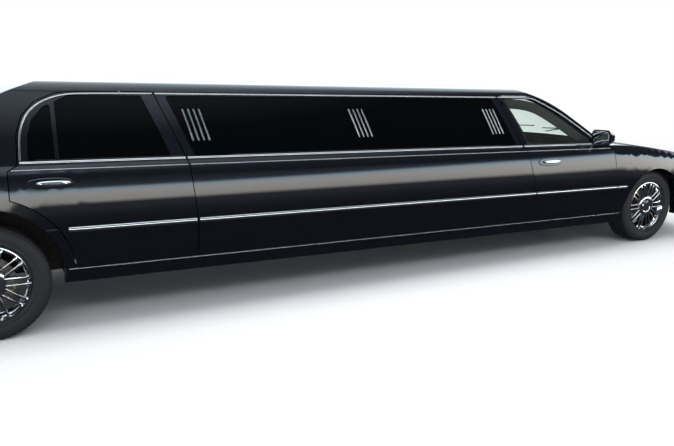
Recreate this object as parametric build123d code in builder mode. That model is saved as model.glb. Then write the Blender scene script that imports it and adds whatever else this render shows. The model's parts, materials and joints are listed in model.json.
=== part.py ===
from build123d import *
import math
import os

# Stretch limousine, in millimetres. X points to the nose, Y to the left side, Z up.
# The body is drawn level and then set on its wheels nose down by a small rake.

# Driving dimensions of the whole car
sedan_wheelbase = 2990.0
stretch = 2794.0
front_overhang = 1040.0
rear_overhang = 1441.0
rake_deg = 0.8

# Heights in the level body frame
rocker_z = 270.0
sill_z = 370.0
molding_z = 615.0
widest_z = 690.0
crease_z = 965.0
belt_z = 1010.0
rail_z = 1437.0
roof_edge_z = 1505.0
roof_z = 1530.0

# Half widths at those heights
rocker_w = 905.0
sill_w = 955.0
widest_w = 993.0
crease_w = 955.0
belt_w = 920.0
glass_base_w = 898.0
rail_w = 690.0
roof_edge_w = 600.0

# Walls and gaps
door_wall = 110.0
frame_wall = 45.0
roof_wall = 34.0
lid_wall = 40.0
end_wall = 60.0
section_over = 16.0
shut_gap = 6.0
glass_inset = 6.0
glass_thick = 5.0
seat_gap = 0.3
trim_thick = 9.0

# Windscreen and rear window, as cones about upright axes
screen_sweep_r = 2000.0
screen_aft = 430.0
screen_slope = 33.5
screen_blend_r = 1500.0
backlight_aft = 600.0
backlight_slope = 38.0
backlight_blend_r = 1100.0

# Wheels
tyre_r = 352.0
tyre_w = 225.0
tyre_bead_w = 94.0
tread_w = 74.0
rim_r = 238.0
front_track = 1610.0
rear_track = 1671.0
axle_z = 345.0
arch_r = 430.0
front_well_w = 428.0
rear_well_w = 690.0

# Side openings: door cuts measured aft of the front axle or ahead of the rear one
door_front_aft = 560.0
door_cut_aft = 1570.0
rear_cut_aft = 4525.0
door_rear_ahead = 150.0
arch_band = 60.0
front_cut_lean = 0.24
rear_cut_lean = 0.10
pillar_lean = 0.38
door_top_z = 1446.0
rebate = 12.0
rebate_depth = 30.0
window_sill_z = 1032.0
window_top_z = 1420.0
window_border = 62.0
belt_joint_z = 1042.0

# Lids
hood_rear_aft = 385.0
hood_bow = 90.0
hood_w = 745.0
hood_nose_w = 660.0
hood_nose_gap = 12.0
nose_cap = 80.0
trunk_front_aft = 690.0
trunk_w = 690.0
trunk_bow = 60.0
trunk_low_z = 665.0
cowl_w = hood_w - 8.0

# Front and rear ends
bumper_top_z = 560.0
bumper_low_z = 285.0
bumper_wall = 110.0
grille_w = 330.0
grille_low_z = 580.0
grille_top_z = 800.0
grille_bars = 12
lamp_inner_w = 400.0
lamp_outer_w = 905.0
lamp_low_z = 600.0
lamp_top_z = 768.0

grille_frame = 26.0
grille_bar_w = 11.0
grille_proud = 24.0
bumper_round = 26.0
intake_w = 420.0
intake_high = 80.0
nose_panel_deep = 300.0
lamp_wrap = 270.0
tail_lamp_in_w = 700.0
tail_lamp_low_z = 640.0
tail_lamp_top_z = 905.0
tail_lamp_wrap = 190.0

# Frame, floor and axles
rail_in_w = 340.0
rail_out_w = 410.0
floor_low_z = 350.0
floor_thick = 24.0
floor_w = 831.0
trunk_floor_w = 821.5
floor_corner_long = 132.0
floor_corner_w = 144.0
cut_over = 2.0
step_foot = 560.0
step_head = 470.0
tunnel_w = 110.0
tunnel_high = 42.0
tunnel_aft = 970.0
tunnel_end_aft = 560.0
stop_thick = 13.0
stop_high = 60.0
stop_reach = 4.6
axle_floor_z = 530.0
trunk_floor_z = 440.0
firewall_aft = 482.0
cross_count = 6
rail_deep = 110.0
rail_end_in = 37.8
rail_step_in = 4.0
cross_first_aft = 945.0
kingpin_in = 30.0
liner_wall = 8.0
hub_r = 62.0
disc_r = 155.0
axle_tube_r = 42.0
spoke_pairs = 10
spoke_deep = 26.0
spoke_face = 78.0
ball_r = 20.0
ball_rise = 138.0
rear_hub_w = rear_track / 2 - 30.0 - seat_gap
pinion_ahead = 210.0
shaft_z = 312.0
pipe_r = 27.0
pipe_w = 225.0
engine_low_z = 305.0
engine_top_z = 810.0

# Cabin
bench_w = 690.0
divider_aft = 1900.0
bar_bays = 5
bar_bay_pitch = 300.0
steering_r = 185.0
steering_grip_r = 15.5
column_long = 120.0
column_gap = 8.0
mirror_aft = 830.0
mirror_w = 985.0
mirror_z = 1085.0

wheelbase = sedan_wheelbase + stretch
length = wheelbase + front_overhang + rear_overhang
nose_x = length / 2
tail_x = -length / 2
front_x = nose_x - front_overhang
rear_x = front_x - wheelbase
pivot_x = (front_x + rear_x) / 2
pivot_z = 430.0
mirror_x = front_x - mirror_aft
panel_nose_x = nose_x - 90.0
panel_tail_x = tail_x + 80.0
far = 1400.0

# The lower body's sections from back to front: x, width factor, belt height, crown height
rear_sections = [
    (panel_tail_x - section_over, 0.90, belt_z - 52, belt_z - 24),
    (rear_x - 1000, 0.955, belt_z - 22, belt_z + 8),
    (rear_x - 420, 0.99, belt_z - 4, belt_z + 26),
    (rear_x + 600, 1.0, belt_z, belt_z + 26),
]
front_sections = [
    (front_x - door_front_aft, 1.0, belt_z, belt_z + 26),
    (front_x + 40, 0.997, belt_z - 52, belt_z - 18),
    (front_x + 600, 0.962, belt_z - 138, belt_z - 98),
    (panel_nose_x + section_over, 0.90, belt_z - 207, belt_z - 167),
]


def on_wheels(shape):
    """The level body's piece, turned nose down about the middle of the wheelbase."""
    return Pos(pivot_x, 0, pivot_z) * Rot(0, rake_deg, 0) * Pos(-pivot_x, 0, -pivot_z) * shape


def road_height(x, z):
    """How high above the road a point of the level body stands once it is raked."""
    rake = math.radians(rake_deg)
    return pivot_z + (z - pivot_z) * math.cos(rake) - (x - pivot_x) * math.sin(rake)


def save(shape, name, side=None):
    """Write one node, whole or only its left or right solids, and say what it holds."""
    solids = shape.solids()
    if side:
        solids = [one for one in solids if one.center().Y * (1 if side == "left" else -1) > 0]
    node = Compound(children=list(solids)) if len(solids) > 1 else solids[0]
    node.label = name
    export_step(node, f"parts/{name}.step")
    print(name, len(node.solids()), round(node.volume / 1e6, 2), "litres")


def body_outline(x, width, belt, crown, side_in, bottom, top_in):
    """One closed section of the lower body across the car, drawn inset by its walls."""
    rise = (belt - sill_z) / (belt_z - sill_z)
    widest_h = sill_z + (widest_z - sill_z) * rise
    crease_h = sill_z + (crease_z - sill_z) * rise
    with BuildSketch(Plane.YZ.offset(x)) as section:
        with BuildLine():
            floor = Line((0, bottom), (rocker_w * width - side_in, bottom))
            foot = Line(floor @ 1, (sill_w * width - side_in, sill_z))
            side = ThreePointArc(
                foot @ 1,
                (widest_w * width - side_in, widest_h),
                (crease_w * width - side_in, crease_h - top_in),
            )
            shoulder = Line(side @ 1, (belt_w * width - side_in, belt - top_in))
            ThreePointArc(
                shoulder @ 1,
                ((shoulder @ 1).X / 2, belt + 0.75 * (crown - belt) - top_in),
                (0, crown - top_in),
            )
            mirror(about=Plane.YZ)
        make_face()
    return section.sketch


def lower_body(side_in, bottom, top_in, end_in):
    """The body below the belt as one closed form: straight stretch, tail and nose."""
    with BuildPart() as body:
        middle = body_outline(*rear_sections[-1], side_in, bottom, top_in)
        extrude(middle, amount=front_sections[0][0] - rear_sections[-1][0], dir=(1, 0, 0))
        for rows in (rear_sections, front_sections):
            loft([body_outline(*row, side_in, bottom, top_in).face() for row in rows])
        with BuildSketch(Plane.XY) as plan:
            with BuildLine():
                nose = ThreePointArc(
                    (panel_nose_x - 170 - end_in, -widest_w - 20),
                    (panel_nose_x - end_in, 0),
                    (panel_nose_x - 170 - end_in, widest_w + 20),
                )
                tail = ThreePointArc(
                    (panel_tail_x + 140 + end_in, widest_w + 20),
                    (panel_tail_x + end_in, 0),
                    (panel_tail_x + 140 + end_in, -widest_w - 20),
                )
                Line(nose @ 1, tail @ 0)
                Line(tail @ 1, nose @ 0)
            make_face()
        extrude(plan.sketch, amount=far, mode=Mode.INTERSECT)
    return body.part


def screen_disc(base_r, slope_deg, blend_r, inset):
    """A turned form whose edge is the screen's slope, rounded into the roof."""
    slope = math.radians(slope_deg)
    top = roof_z + 3 - inset
    blend = blend_r - inset
    edge_r = base_r - inset / math.sin(slope)
    tangent_z = top - blend * (1 - math.cos(slope))
    tangent_r = edge_r - (tangent_z - belt_z) / math.tan(slope)
    centre_r = tangent_r - blend * math.sin(slope)
    low = belt_z - 120
    with BuildPart() as disc:
        with BuildSketch(Plane.XZ):
            with BuildLine():
                base = Line((0, low), (edge_r + (belt_z - low) / math.tan(slope), low))
                rise = Line(base @ 1, (tangent_r, tangent_z))
                turn = ThreePointArc(
                    rise @ 1,
                    (
                        centre_r + blend * math.sin(slope / 2),
                        top - blend + blend * math.cos(slope / 2),
                    ),
                    (centre_r, top),
                )
                Polyline(turn @ 1, (0, top), (0, low))
            make_face()
        revolve(axis=Axis.Z)
    return disc.part


def greenhouse(side_in, top_in):
    """The glazed upper body as one closed form, drawn inset by its walls."""
    screen_axis_x = front_x - screen_aft - screen_sweep_r
    backlight_axis_x = rear_x - backlight_aft + screen_sweep_r
    low = belt_z - 100
    with BuildPart() as limits:
        with Locations((screen_axis_x, 0, 0)):
            add(screen_disc(screen_sweep_r, screen_slope, screen_blend_r, top_in))
        with Locations((backlight_axis_x, 0, 0)):
            add(screen_disc(screen_sweep_r, backlight_slope, backlight_blend_r, top_in))
        with Locations(((screen_axis_x + backlight_axis_x) / 2, 0, low)):
            Box(
                screen_axis_x - backlight_axis_x,
                2000,
                roof_z + 3 - top_in - low,
                align=(Align.CENTER, Align.CENTER, Align.MIN),
            )
    with BuildPart() as upper:
        with BuildSketch(Plane.YZ.offset(rear_x - 1200)) as section:
            with BuildLine():
                base = Line((0, low), (glass_base_w + 40 - side_in, low))
                flank = ThreePointArc(
                    base @ 1,
                    ((glass_base_w + 40 + rail_w) / 2 + 18 - side_in, (low + rail_z) / 2),
                    (rail_w - side_in, rail_z),
                )
                bend = ThreePointArc(
                    flank @ 1,
                    (rail_w - 32 - (side_in + top_in) / 2, rail_z + 42 - top_in / 2),
                    (roof_edge_w - side_in, roof_edge_z - top_in),
                )
                ThreePointArc(
                    bend @ 1,
                    (roof_edge_w / 2, roof_z - 6 - top_in),
                    (0, roof_z - top_in),
                )
                mirror(about=Plane.YZ)
            make_face()
        extrude(section.sketch, amount=wheelbase + 1600, dir=(1, 0, 0))
        add(limits.part, mode=Mode.INTERSECT)
    return upper.part


def side_prism(points, grow=0.0, corner=0.0, arch_x=None):
    """A prism through both sides of the car from an outline in side view."""
    with BuildPart() as prism:
        with BuildSketch(Plane.XZ) as outline:
            with BuildLine():
                Polyline(*points, close=True)
            make_face()
            if corner:
                fillet(outline.vertices(), corner)
            if arch_x is not None:
                with Locations((arch_x, axle_z)):
                    Circle(arch_r + arch_band, mode=Mode.SUBTRACT)
            if grow:
                offset(amount=grow, kind=Kind.INTERSECTION)
        extrude(amount=far, both=True)
    return prism.part


def front_prism(points, x0, x1, grow=0.0, corner=0.0):
    """A prism along the car, mirrored to both sides, from an outline seen from the front."""
    with BuildPart() as prism:
        with BuildSketch(Plane.YZ.offset(x0)) as outline:
            with BuildLine():
                Polyline(*points, close=True)
            make_face()
            if corner:
                fillet(outline.vertices(), corner)
            if grow:
                offset(amount=grow, kind=Kind.INTERSECTION)
            mirror(about=Plane.YZ)
        extrude(outline.sketch, amount=x1 - x0, dir=(1, 0, 0))
    return prism.part


def block(x0, x1, y0, y1, z0, z1):
    """A box between two corners."""
    with BuildPart() as box:
        with Locations(((x0 + x1) / 2, (y0 + y1) / 2, (z0 + z1) / 2)):
            Box(x1 - x0, y1 - y0, z1 - z0)
    return box.part


def wheel_space(x, radius, inner_w, outer_w=far):
    """The round space over a wheel, on both sides, outboard of its inner wall."""
    with BuildPart() as space:
        for side in (1, -1):
            with BuildSketch(Plane.XZ.offset(-side * inner_w)):
                with Locations((x, axle_z)):
                    Circle(radius)
            extrude(amount=-side * (outer_w - inner_w))
    return space.part


def cut_x(foot_aft, lean, z):
    """Where a leaning door cut runs at a height."""
    low_lean = lean * (min(z, belt_z) - molding_z) if z > molding_z else 0.0
    high_lean = pillar_lean * (z - belt_z) if z > belt_z else 0.0
    return front_x - foot_aft - low_lean - high_lean


def front_cut(z):
    """The cut behind the front door."""
    return cut_x(door_cut_aft, front_cut_lean, z)


def rear_cut(z):
    """The cut ahead of the rear door."""
    return cut_x(rear_cut_aft, rear_cut_lean, z)


# Openings in side view, each a ring of corners
front_door_ring = [
    (front_cut(sill_z), sill_z),
    (front_cut(molding_z), molding_z),
    (front_cut(belt_z), belt_z),
    (front_cut(door_top_z), door_top_z),
    (front_x - 1424, door_top_z),
    (front_x - 1352, 1422),
    (front_x - 1232, 1366),
    (front_x - 1096, 1290),
    (front_x - 960, 1200),
    (front_x - 690, belt_z + 10),
    (front_x - 600, crease_z),
    (front_x - door_front_aft, molding_z),
    (front_x - door_front_aft, sill_z),
]
quarter_edge_x = rear_x + door_rear_ahead
rear_door_ring = [
    (rear_x + arch_r + arch_band - 100, sill_z),
    (rear_cut(sill_z), sill_z),
    (rear_cut(molding_z), molding_z),
    (rear_cut(belt_z), belt_z),
    (rear_cut(door_top_z), door_top_z),
    (rear_x + 560, door_top_z),
    (rear_x + 450, 1434),
    (rear_x + 330, 1382),
    (rear_x + 250, 1296),
    (rear_x + 215, 1188),
    (rear_x + 205, belt_z + 4),
    (quarter_edge_x, crease_z + 16),
    (quarter_edge_x, 700),
]
front_window_ring = [
    (front_cut(window_sill_z) + window_border, window_sill_z),
    (front_x - 800, window_sill_z),
    (front_x - 1003, 1172),
    (front_x - 1093, 1232),
    (front_x - 1200, 1300),
    (front_x - 1308, 1358),
    (front_x - 1392, 1396),
    (front_x - 1462, window_top_z),
    (front_cut(window_top_z) + window_border, window_top_z),
]
stretch_window_ring = [
    (rear_cut(window_sill_z) + window_border, window_sill_z),
    (front_cut(window_sill_z) - window_border, window_sill_z),
    (front_cut(window_top_z) - window_border, window_top_z),
    (rear_cut(window_top_z) + window_border, window_top_z),
]
quarter_bar_x = rear_x + 430
drop_window_ring = [
    (quarter_bar_x + 12, window_sill_z),
    (rear_cut(window_sill_z) - 1.5 * window_border, window_sill_z),
    (rear_cut(window_top_z) - 1.5 * window_border, window_top_z),
    (quarter_bar_x + 100, window_top_z),
    (quarter_bar_x + 12, 1380),
]
quarter_window_ring = [
    (rear_x + 268, window_sill_z),
    (quarter_bar_x - 12, window_sill_z),
    (quarter_bar_x - 12, 1371),
    (rear_x + 372, 1345),
    (rear_x + 306, 1272),
    (rear_x + 276, 1175),
]
screen_ring = [(-790, 1062), (790, 1062), (612, 1464), (-612, 1464)]
backlight_ring = [(-735, 1066), (735, 1066), (560, 1458), (-560, 1458)]


def lid_plan(edges, gap):
    """A lid's outline in plan: a bowed edge by the glass, straight sides, a bowed far end."""
    glass_x, glass_w, glass_bow, end_x, end_w, end_bow, end_gap = edges
    toward = 1 if end_x > glass_x else -1
    with BuildSketch(Plane.XY.offset(trunk_low_z - 100)) as plan:
        with BuildLine():
            near = ThreePointArc(
                (glass_x - toward * (glass_bow - gap), -glass_w + gap),
                (glass_x + toward * gap, 0),
                (glass_x - toward * (glass_bow - gap), glass_w - gap),
            )
            end = ThreePointArc(
                (end_x - toward * (end_bow + end_gap), end_w - gap),
                (end_x - toward * end_gap, 0),
                (end_x - toward * (end_bow + end_gap), -end_w + gap),
            )
            Line(near @ 1, end @ 0)
            Line(end @ 1, near @ 0)
        make_face()
    return plan.sketch


# Lid plans: glass edge x, half width and bow; far end x, half width, bow and gap
hood_edges = (front_x - hood_rear_aft, hood_w, hood_bow, panel_nose_x - nose_cap, hood_nose_w, 62.0)
trunk_edges = (rear_x - trunk_front_aft, trunk_w, trunk_bow, panel_tail_x - 400.0, trunk_w, 20.0)


def lid_prism(edges, gap, end_gap, low):
    """Everything above a height inside a lid's plan."""
    with BuildPart() as prism:
        extrude(lid_plan((*edges, end_gap), gap), amount=far, dir=(0, 0, 1))
        with Locations((0, 0, low)):
            Box(2 * length, 2 * far, 2 * far, align=(Align.CENTER, Align.CENTER, Align.MIN), mode=Mode.INTERSECT)
    return prism.part


os.makedirs("parts", exist_ok=True)

# The body shell before it is cut into panels
lower_outside = lower_body(0, rocker_z, 0, 0)
lower_inside = lower_body(door_wall, rocker_z - 80, lid_wall, end_wall)
with BuildPart() as shell:
    add(lower_outside)
    add(greenhouse(0, 0))
    add(lower_inside, mode=Mode.SUBTRACT)
    add(greenhouse(frame_wall, roof_wall), mode=Mode.SUBTRACT)
    for axle_x, well_w in ((front_x, front_well_w), (rear_x, rear_well_w)):
        add(wheel_space(axle_x, arch_r, well_w), mode=Mode.SUBTRACT)

# What lies deeper than the doors' outer skins
with BuildPart() as behind_skin:
    add(lower_body(rebate_depth, rocker_z - 80, rebate_depth, rebate_depth))
    add(greenhouse(rebate_depth * 0.7, rebate_depth * 0.7))

# The middle of the car, which no door reaches
cabin_core = block(tail_x, nose_x, -belt_w + door_wall, belt_w - door_wall, 0, belt_z + 25)

door_rings = {"front": (front_door_ring, None), "rear": (rear_door_ring, rear_x)}
doors = {}
with BuildPart() as door_openings:
    for ring, arch in door_rings.values():
        add(side_prism(ring, arch_x=arch))
    add(cabin_core, mode=Mode.SUBTRACT)

for place, (ring, arch) in door_rings.items():
    with BuildPart() as rim:
        add(side_prism(ring, grow=20, arch_x=arch))
        add(side_prism(ring, grow=-shut_gap - rebate, arch_x=arch), mode=Mode.SUBTRACT)
        add(behind_skin.part, mode=Mode.INTERSECT)
    with BuildPart() as door:
        add(shell.part)
        add(side_prism(ring, grow=-shut_gap, arch_x=arch), mode=Mode.INTERSECT)
        add(cabin_core, mode=Mode.SUBTRACT)
        add(rim.part, mode=Mode.SUBTRACT)
        if place == "front":
            add(side_prism(front_window_ring, corner=16), mode=Mode.SUBTRACT)
        else:
            add(side_prism(drop_window_ring, corner=14), mode=Mode.SUBTRACT)
            add(side_prism(quarter_window_ring, corner=14), mode=Mode.SUBTRACT)
    doors[place] = door.part
    for side in ("left", "right"):
        save(on_wheels(door.part), f"{place}_{side}_door", side)

# Side glass, held in its frames
with BuildPart() as glass_layer:
    add(greenhouse(glass_inset, glass_inset))
    add(greenhouse(glass_inset + glass_thick, glass_inset + glass_thick), mode=Mode.SUBTRACT)


def glazing(prisms):
    """Panes cut from the glass layer by the prisms of their openings."""
    with BuildPart() as panes:
        for prism in prisms:
            add(prism)
        add(glass_layer.part, mode=Mode.INTERSECT)
    return panes.part


front_panes = glazing([side_prism(front_window_ring, grow=-seat_gap, corner=16)])
rear_panes = glazing(
    [side_prism(ring, grow=-seat_gap, corner=14) for ring in (drop_window_ring, quarter_window_ring)]
)
for place, panes in (("front", front_panes), ("rear", rear_panes)):
    for side in ("left", "right"):
        save(on_wheels(panes), f"{place}_{side}_door_glass", side)
stretch_panes = glazing([side_prism(stretch_window_ring, grow=-seat_gap, corner=14)])
save(on_wheels(stretch_panes), "stretch_side_glass")
windshield = glazing([front_prism(screen_ring, front_x - 1500, nose_x, grow=-seat_gap, corner=40)])
save(on_wheels(windshield), "windshield")
rear_window = glazing([front_prism(backlight_ring, tail_x, rear_x + 200, grow=-seat_gap, corner=40)])
save(on_wheels(rear_window), "rear_window")

# Hood and trunk lid
with BuildPart() as hood:
    add(shell.part)
    add(lid_prism(hood_edges, shut_gap, hood_nose_gap, trunk_low_z), mode=Mode.INTERSECT)
save(on_wheels(hood.part), "hood")
with BuildPart() as trunk_lid:
    add(lid_prism(trunk_edges, shut_gap, 0, trunk_low_z + shut_gap))
    add(lower_outside, mode=Mode.INTERSECT)
    add(lower_inside, mode=Mode.SUBTRACT)
save(on_wheels(trunk_lid.part), "trunk_lid")

# The fixed body: what the doors, lids and glass leave
with BuildPart() as fixed_body:
    add(shell.part)
    add(door_openings.part, mode=Mode.SUBTRACT)
    add(lid_prism(hood_edges, 0, 0, trunk_low_z), mode=Mode.SUBTRACT)
    add(lid_prism(trunk_edges, 0, 0, trunk_low_z), mode=Mode.SUBTRACT)
    add(side_prism(stretch_window_ring, corner=14), mode=Mode.SUBTRACT)
    add(front_prism(screen_ring, front_x - 1500, nose_x, corner=40), mode=Mode.SUBTRACT)
    add(front_prism(backlight_ring, tail_x, rear_x + 200, corner=40), mode=Mode.SUBTRACT)


def region(x0, x1, z0, z1, y0=-far, y1=far):
    """The fixed body inside a box, kept a seat gap clear of its neighbours."""
    g = seat_gap / 2
    with BuildPart() as piece:
        add(fixed_body.part)
        add(block(x0 + g, x1 - g, y0 + g, y1 - g, z0 + g, z1 - g), mode=Mode.INTERSECT)
    return piece.part


# The space inside the shell, for what is fitted to its walls
with BuildPart() as cabin:
    add(lower_body(door_wall + seat_gap, rocker_z - 80, lid_wall + seat_gap, end_wall + seat_gap))
    add(greenhouse(frame_wall + seat_gap, roof_wall + seat_gap))

lamp_ring = [
    (lamp_inner_w, lamp_low_z + 14),
    (lamp_outer_w + 60, lamp_low_z - 6),
    (lamp_outer_w + 60, lamp_top_z - 34),
    (lamp_inner_w, lamp_top_z),
]
grille_ring = [
    (-grille_w, grille_low_z),
    (grille_w, grille_low_z),
    (grille_w + 12, grille_top_z),
    (-grille_w - 12, grille_top_z),
]
tail_lamp_ring = [
    (tail_lamp_in_w, tail_lamp_low_z),
    (far, tail_lamp_low_z),
    (far, tail_lamp_top_z - 20),
    (tail_lamp_in_w, tail_lamp_top_z),
]
nose_cut_x = panel_nose_x - nose_panel_deep
lamp_back_x = panel_nose_x - lamp_wrap
tail_lamp_front_x = panel_tail_x + tail_lamp_wrap

# The roof with its pillars, and the panels below the belt
roof = region(rear_x - 1300, front_x, belt_joint_z, roof_z + 10)
save(on_wheels(roof), "roof")

body_side = region(
    front_x - rear_cut_aft - 100, front_x - door_cut_aft + 40, sill_z, belt_joint_z
)
save(on_wheels(body_side), "stretch_side_panels")

# Rockers, each with an inner upstand that the doors close against
stop_w = sill_w - door_wall
with BuildPart() as rockers:
    add(region(rear_x + arch_r - 40, front_x - arch_r + 40, rocker_z, sill_z))
    for x0, x1 in (
        (front_x - door_cut_aft + 60, front_x - door_front_aft - 60),
        (rear_x + arch_r + 220, front_x - rear_cut_aft - 60),
    ):
        add(block(x0, x1, stop_w - stop_thick, stop_w + stop_reach, floor_low_z, sill_z + stop_high))
        add(block(x0, x1, -stop_w - stop_reach, stop_thick - stop_w, floor_low_z, sill_z + stop_high))
save(on_wheels(rockers.part), "rocker_panels")

cowl = region(
    front_x - 900, front_x - hood_rear_aft, trunk_low_z, belt_joint_z, -cowl_w, cowl_w
)
save(on_wheels(cowl), "cowl_panel")

with BuildPart() as fenders:
    add(region(front_x - 900, nose_cut_x, sill_z, belt_joint_z))
    side_w = cowl_w + seat_gap / 2
    add(block(front_x - 910, front_x - hood_rear_aft, -side_w, side_w, 0, roof_z), mode=Mode.SUBTRACT)
    add(block(front_x + arch_r, nose_x, -far, far, 0, bumper_top_z), mode=Mode.SUBTRACT)
save(on_wheels(fenders.part), "front_fenders")

# Rear quarters, joined by the deck and the rear panel, with the catch that the trunk lid closes onto
catch_top_z = trunk_low_z + shut_gap - seat_gap
with BuildPart() as quarters:
    add(region(tail_x, rear_x + 700, sill_z, belt_joint_z))
    add(block(panel_tail_x + 22, panel_tail_x + 50, -60, 60, trunk_low_z - 20, catch_top_z))
    add(block(tail_x, rear_x - arch_r, -far, far, 0, bumper_top_z), mode=Mode.SUBTRACT)
    add(front_prism(tail_lamp_ring, tail_x, tail_lamp_front_x), mode=Mode.SUBTRACT)
save(on_wheels(quarters.part), "quarter_panels")

with BuildPart() as tail_lamps:
    add(fixed_body.part)
    add(
        front_prism(tail_lamp_ring, tail_x, tail_lamp_front_x - seat_gap, grow=-seat_gap),
        mode=Mode.INTERSECT,
    )
save(on_wheels(tail_lamps.part), "tail_lamps")

# Nose, with the support beam that the hood closes onto
with BuildPart() as beam:
    add(block(panel_nose_x - 160, panel_nose_x - 50, -600, 600, grille_top_z + 2, belt_z))
    add(cabin.part, mode=Mode.INTERSECT)
with BuildPart() as nose_panel:
    add(region(nose_cut_x, nose_x, bumper_top_z, belt_joint_z))
    add(beam.part)
    add(block(panel_nose_x - 80, panel_nose_x - 45, -200, 200, grille_top_z + 3, grille_top_z + 20))
    add(front_prism(lamp_ring, lamp_back_x, nose_x), mode=Mode.SUBTRACT)
    add(front_prism(grille_ring, nose_cut_x, nose_x, corner=30), mode=Mode.SUBTRACT)
save(on_wheels(nose_panel.part), "nose_panel")

with BuildPart() as headlamps:
    add(fixed_body.part)
    add(front_prism(lamp_ring, lamp_back_x + seat_gap, nose_x, grow=-seat_gap), mode=Mode.INTERSECT)
save(on_wheels(headlamps.part), "headlamps")

# The grille: a frame seated in the nose, with upright bars
with BuildPart() as grille:
    add(
        front_prism(
            grille_ring, panel_nose_x - end_wall, panel_nose_x + grille_proud, grow=-seat_gap, corner=30
        )
    )
    add(
        front_prism(
            grille_ring, panel_nose_x - end_wall + 6, nose_x, grow=-grille_frame, corner=30
        ),
        mode=Mode.SUBTRACT,
    )
    bar_pitch = 2 * (grille_w - grille_frame) / (grille_bars + 1)
    with Locations((panel_nose_x - end_wall / 2 + 8, 0, (grille_low_z + grille_top_z) / 2)):
        with GridLocations(1, bar_pitch, 1, grille_bars):
            Box(end_wall + 10, grille_bar_w, grille_top_z - grille_low_z - grille_frame)
save(on_wheels(grille.part), "grille")


def bumper_plan(place, z, inset):
    """A bumper cover's outline in plan at a height: flank, round corner and bowed face."""
    end_x, start_x, start_w, flank_w = place
    toward = 1 if end_x > start_x else -1
    back_x = start_x - toward * 300
    with BuildSketch(Plane.XY.offset(z)) as plan:
        with BuildLine():
            flank = Line((back_x, start_w - inset), (end_x - toward * 340, flank_w - inset))
            corner = ThreePointArc(
                flank @ 1,
                (end_x - toward * (190 + inset / 2), flank_w - 76 - inset * 0.9),
                (end_x - toward * (92 + inset), flank_w - 250 - inset / 3),
            )
            ThreePointArc(
                corner @ 1,
                (end_x - toward * (24 + inset), (flank_w - 250) / 2),
                (end_x - toward * inset, 0),
            )
            mirror(about=Plane.XZ)
            Line((back_x, start_w - inset), (back_x, inset - start_w))
        make_face()
    return plan.sketch.face()


def bumper(place):
    """A hollow bumper cover with a rounded foot and a bevelled top."""
    end_x, start_x = place[:2]
    top = bumper_top_z - seat_gap / 2
    levels = [
        (bumper_low_z, bumper_round),
        (bumper_low_z + 2 * bumper_round, 0),
        (top - bumper_round, 0),
        (top, bumper_round / 2),
    ]
    with BuildPart() as cover:
        loft([bumper_plan(place, z, inset) for z, inset in levels], ruled=True)
        hollow = bumper_plan(place, bumper_low_z - 1, bumper_wall)
        extrude(hollow, amount=bumper_top_z, dir=(0, 0, 1), mode=Mode.SUBTRACT)
        keep = block(min(start_x, end_x), max(start_x, end_x), -far, far, 0, roof_z)
        add(keep, mode=Mode.INTERSECT)
    return cover.part


# Bumpers: end x, start x by the wheel arch, half width there and at the flank's end
front_place = (nose_x, front_x + arch_r + 12, 960, 930)
rear_place = (tail_x, rear_x - arch_r - 12, 974, 928)
with BuildPart() as front_bumper:
    add(bumper(front_place))
    with Locations((nose_x - 60, 0, bumper_low_z + 95)):
        Box(300, 2 * intake_w, intake_high, mode=Mode.SUBTRACT)
save(on_wheels(front_bumper.part), "front_bumper")
rear_bumper = bumper(rear_place)
save(on_wheels(rear_bumper), "rear_bumper")

# Liners over the wheels, seated inside the body sides
with BuildPart() as liners:
    for axle_x, well_w in ((front_x, front_well_w), (rear_x, rear_well_w)):
        add(wheel_space(axle_x, arch_r + liner_wall, well_w - liner_wall))
    for axle_x, well_w in ((front_x, front_well_w), (rear_x, rear_well_w)):
        add(wheel_space(axle_x, arch_r, well_w), mode=Mode.SUBTRACT)
    add(block(tail_x, nose_x, -far, far, 0, axle_z - 40), mode=Mode.SUBTRACT)
    add(cabin.part, mode=Mode.INTERSECT)
    arm_slot = front_well_w + 6
    add(block(front_x - 110, front_x + 110, -arm_slot, arm_slot, 0, 600), mode=Mode.SUBTRACT)
    tube_slot = rear_well_w + 6
    tube_top_z = axle_z + axle_tube_r + 40
    add(block(rear_x - 66, rear_x + 66, -tube_slot, tube_slot, 0, tube_top_z), mode=Mode.SUBTRACT)
save(on_wheels(liners.part), "wheelhouses")

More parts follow.
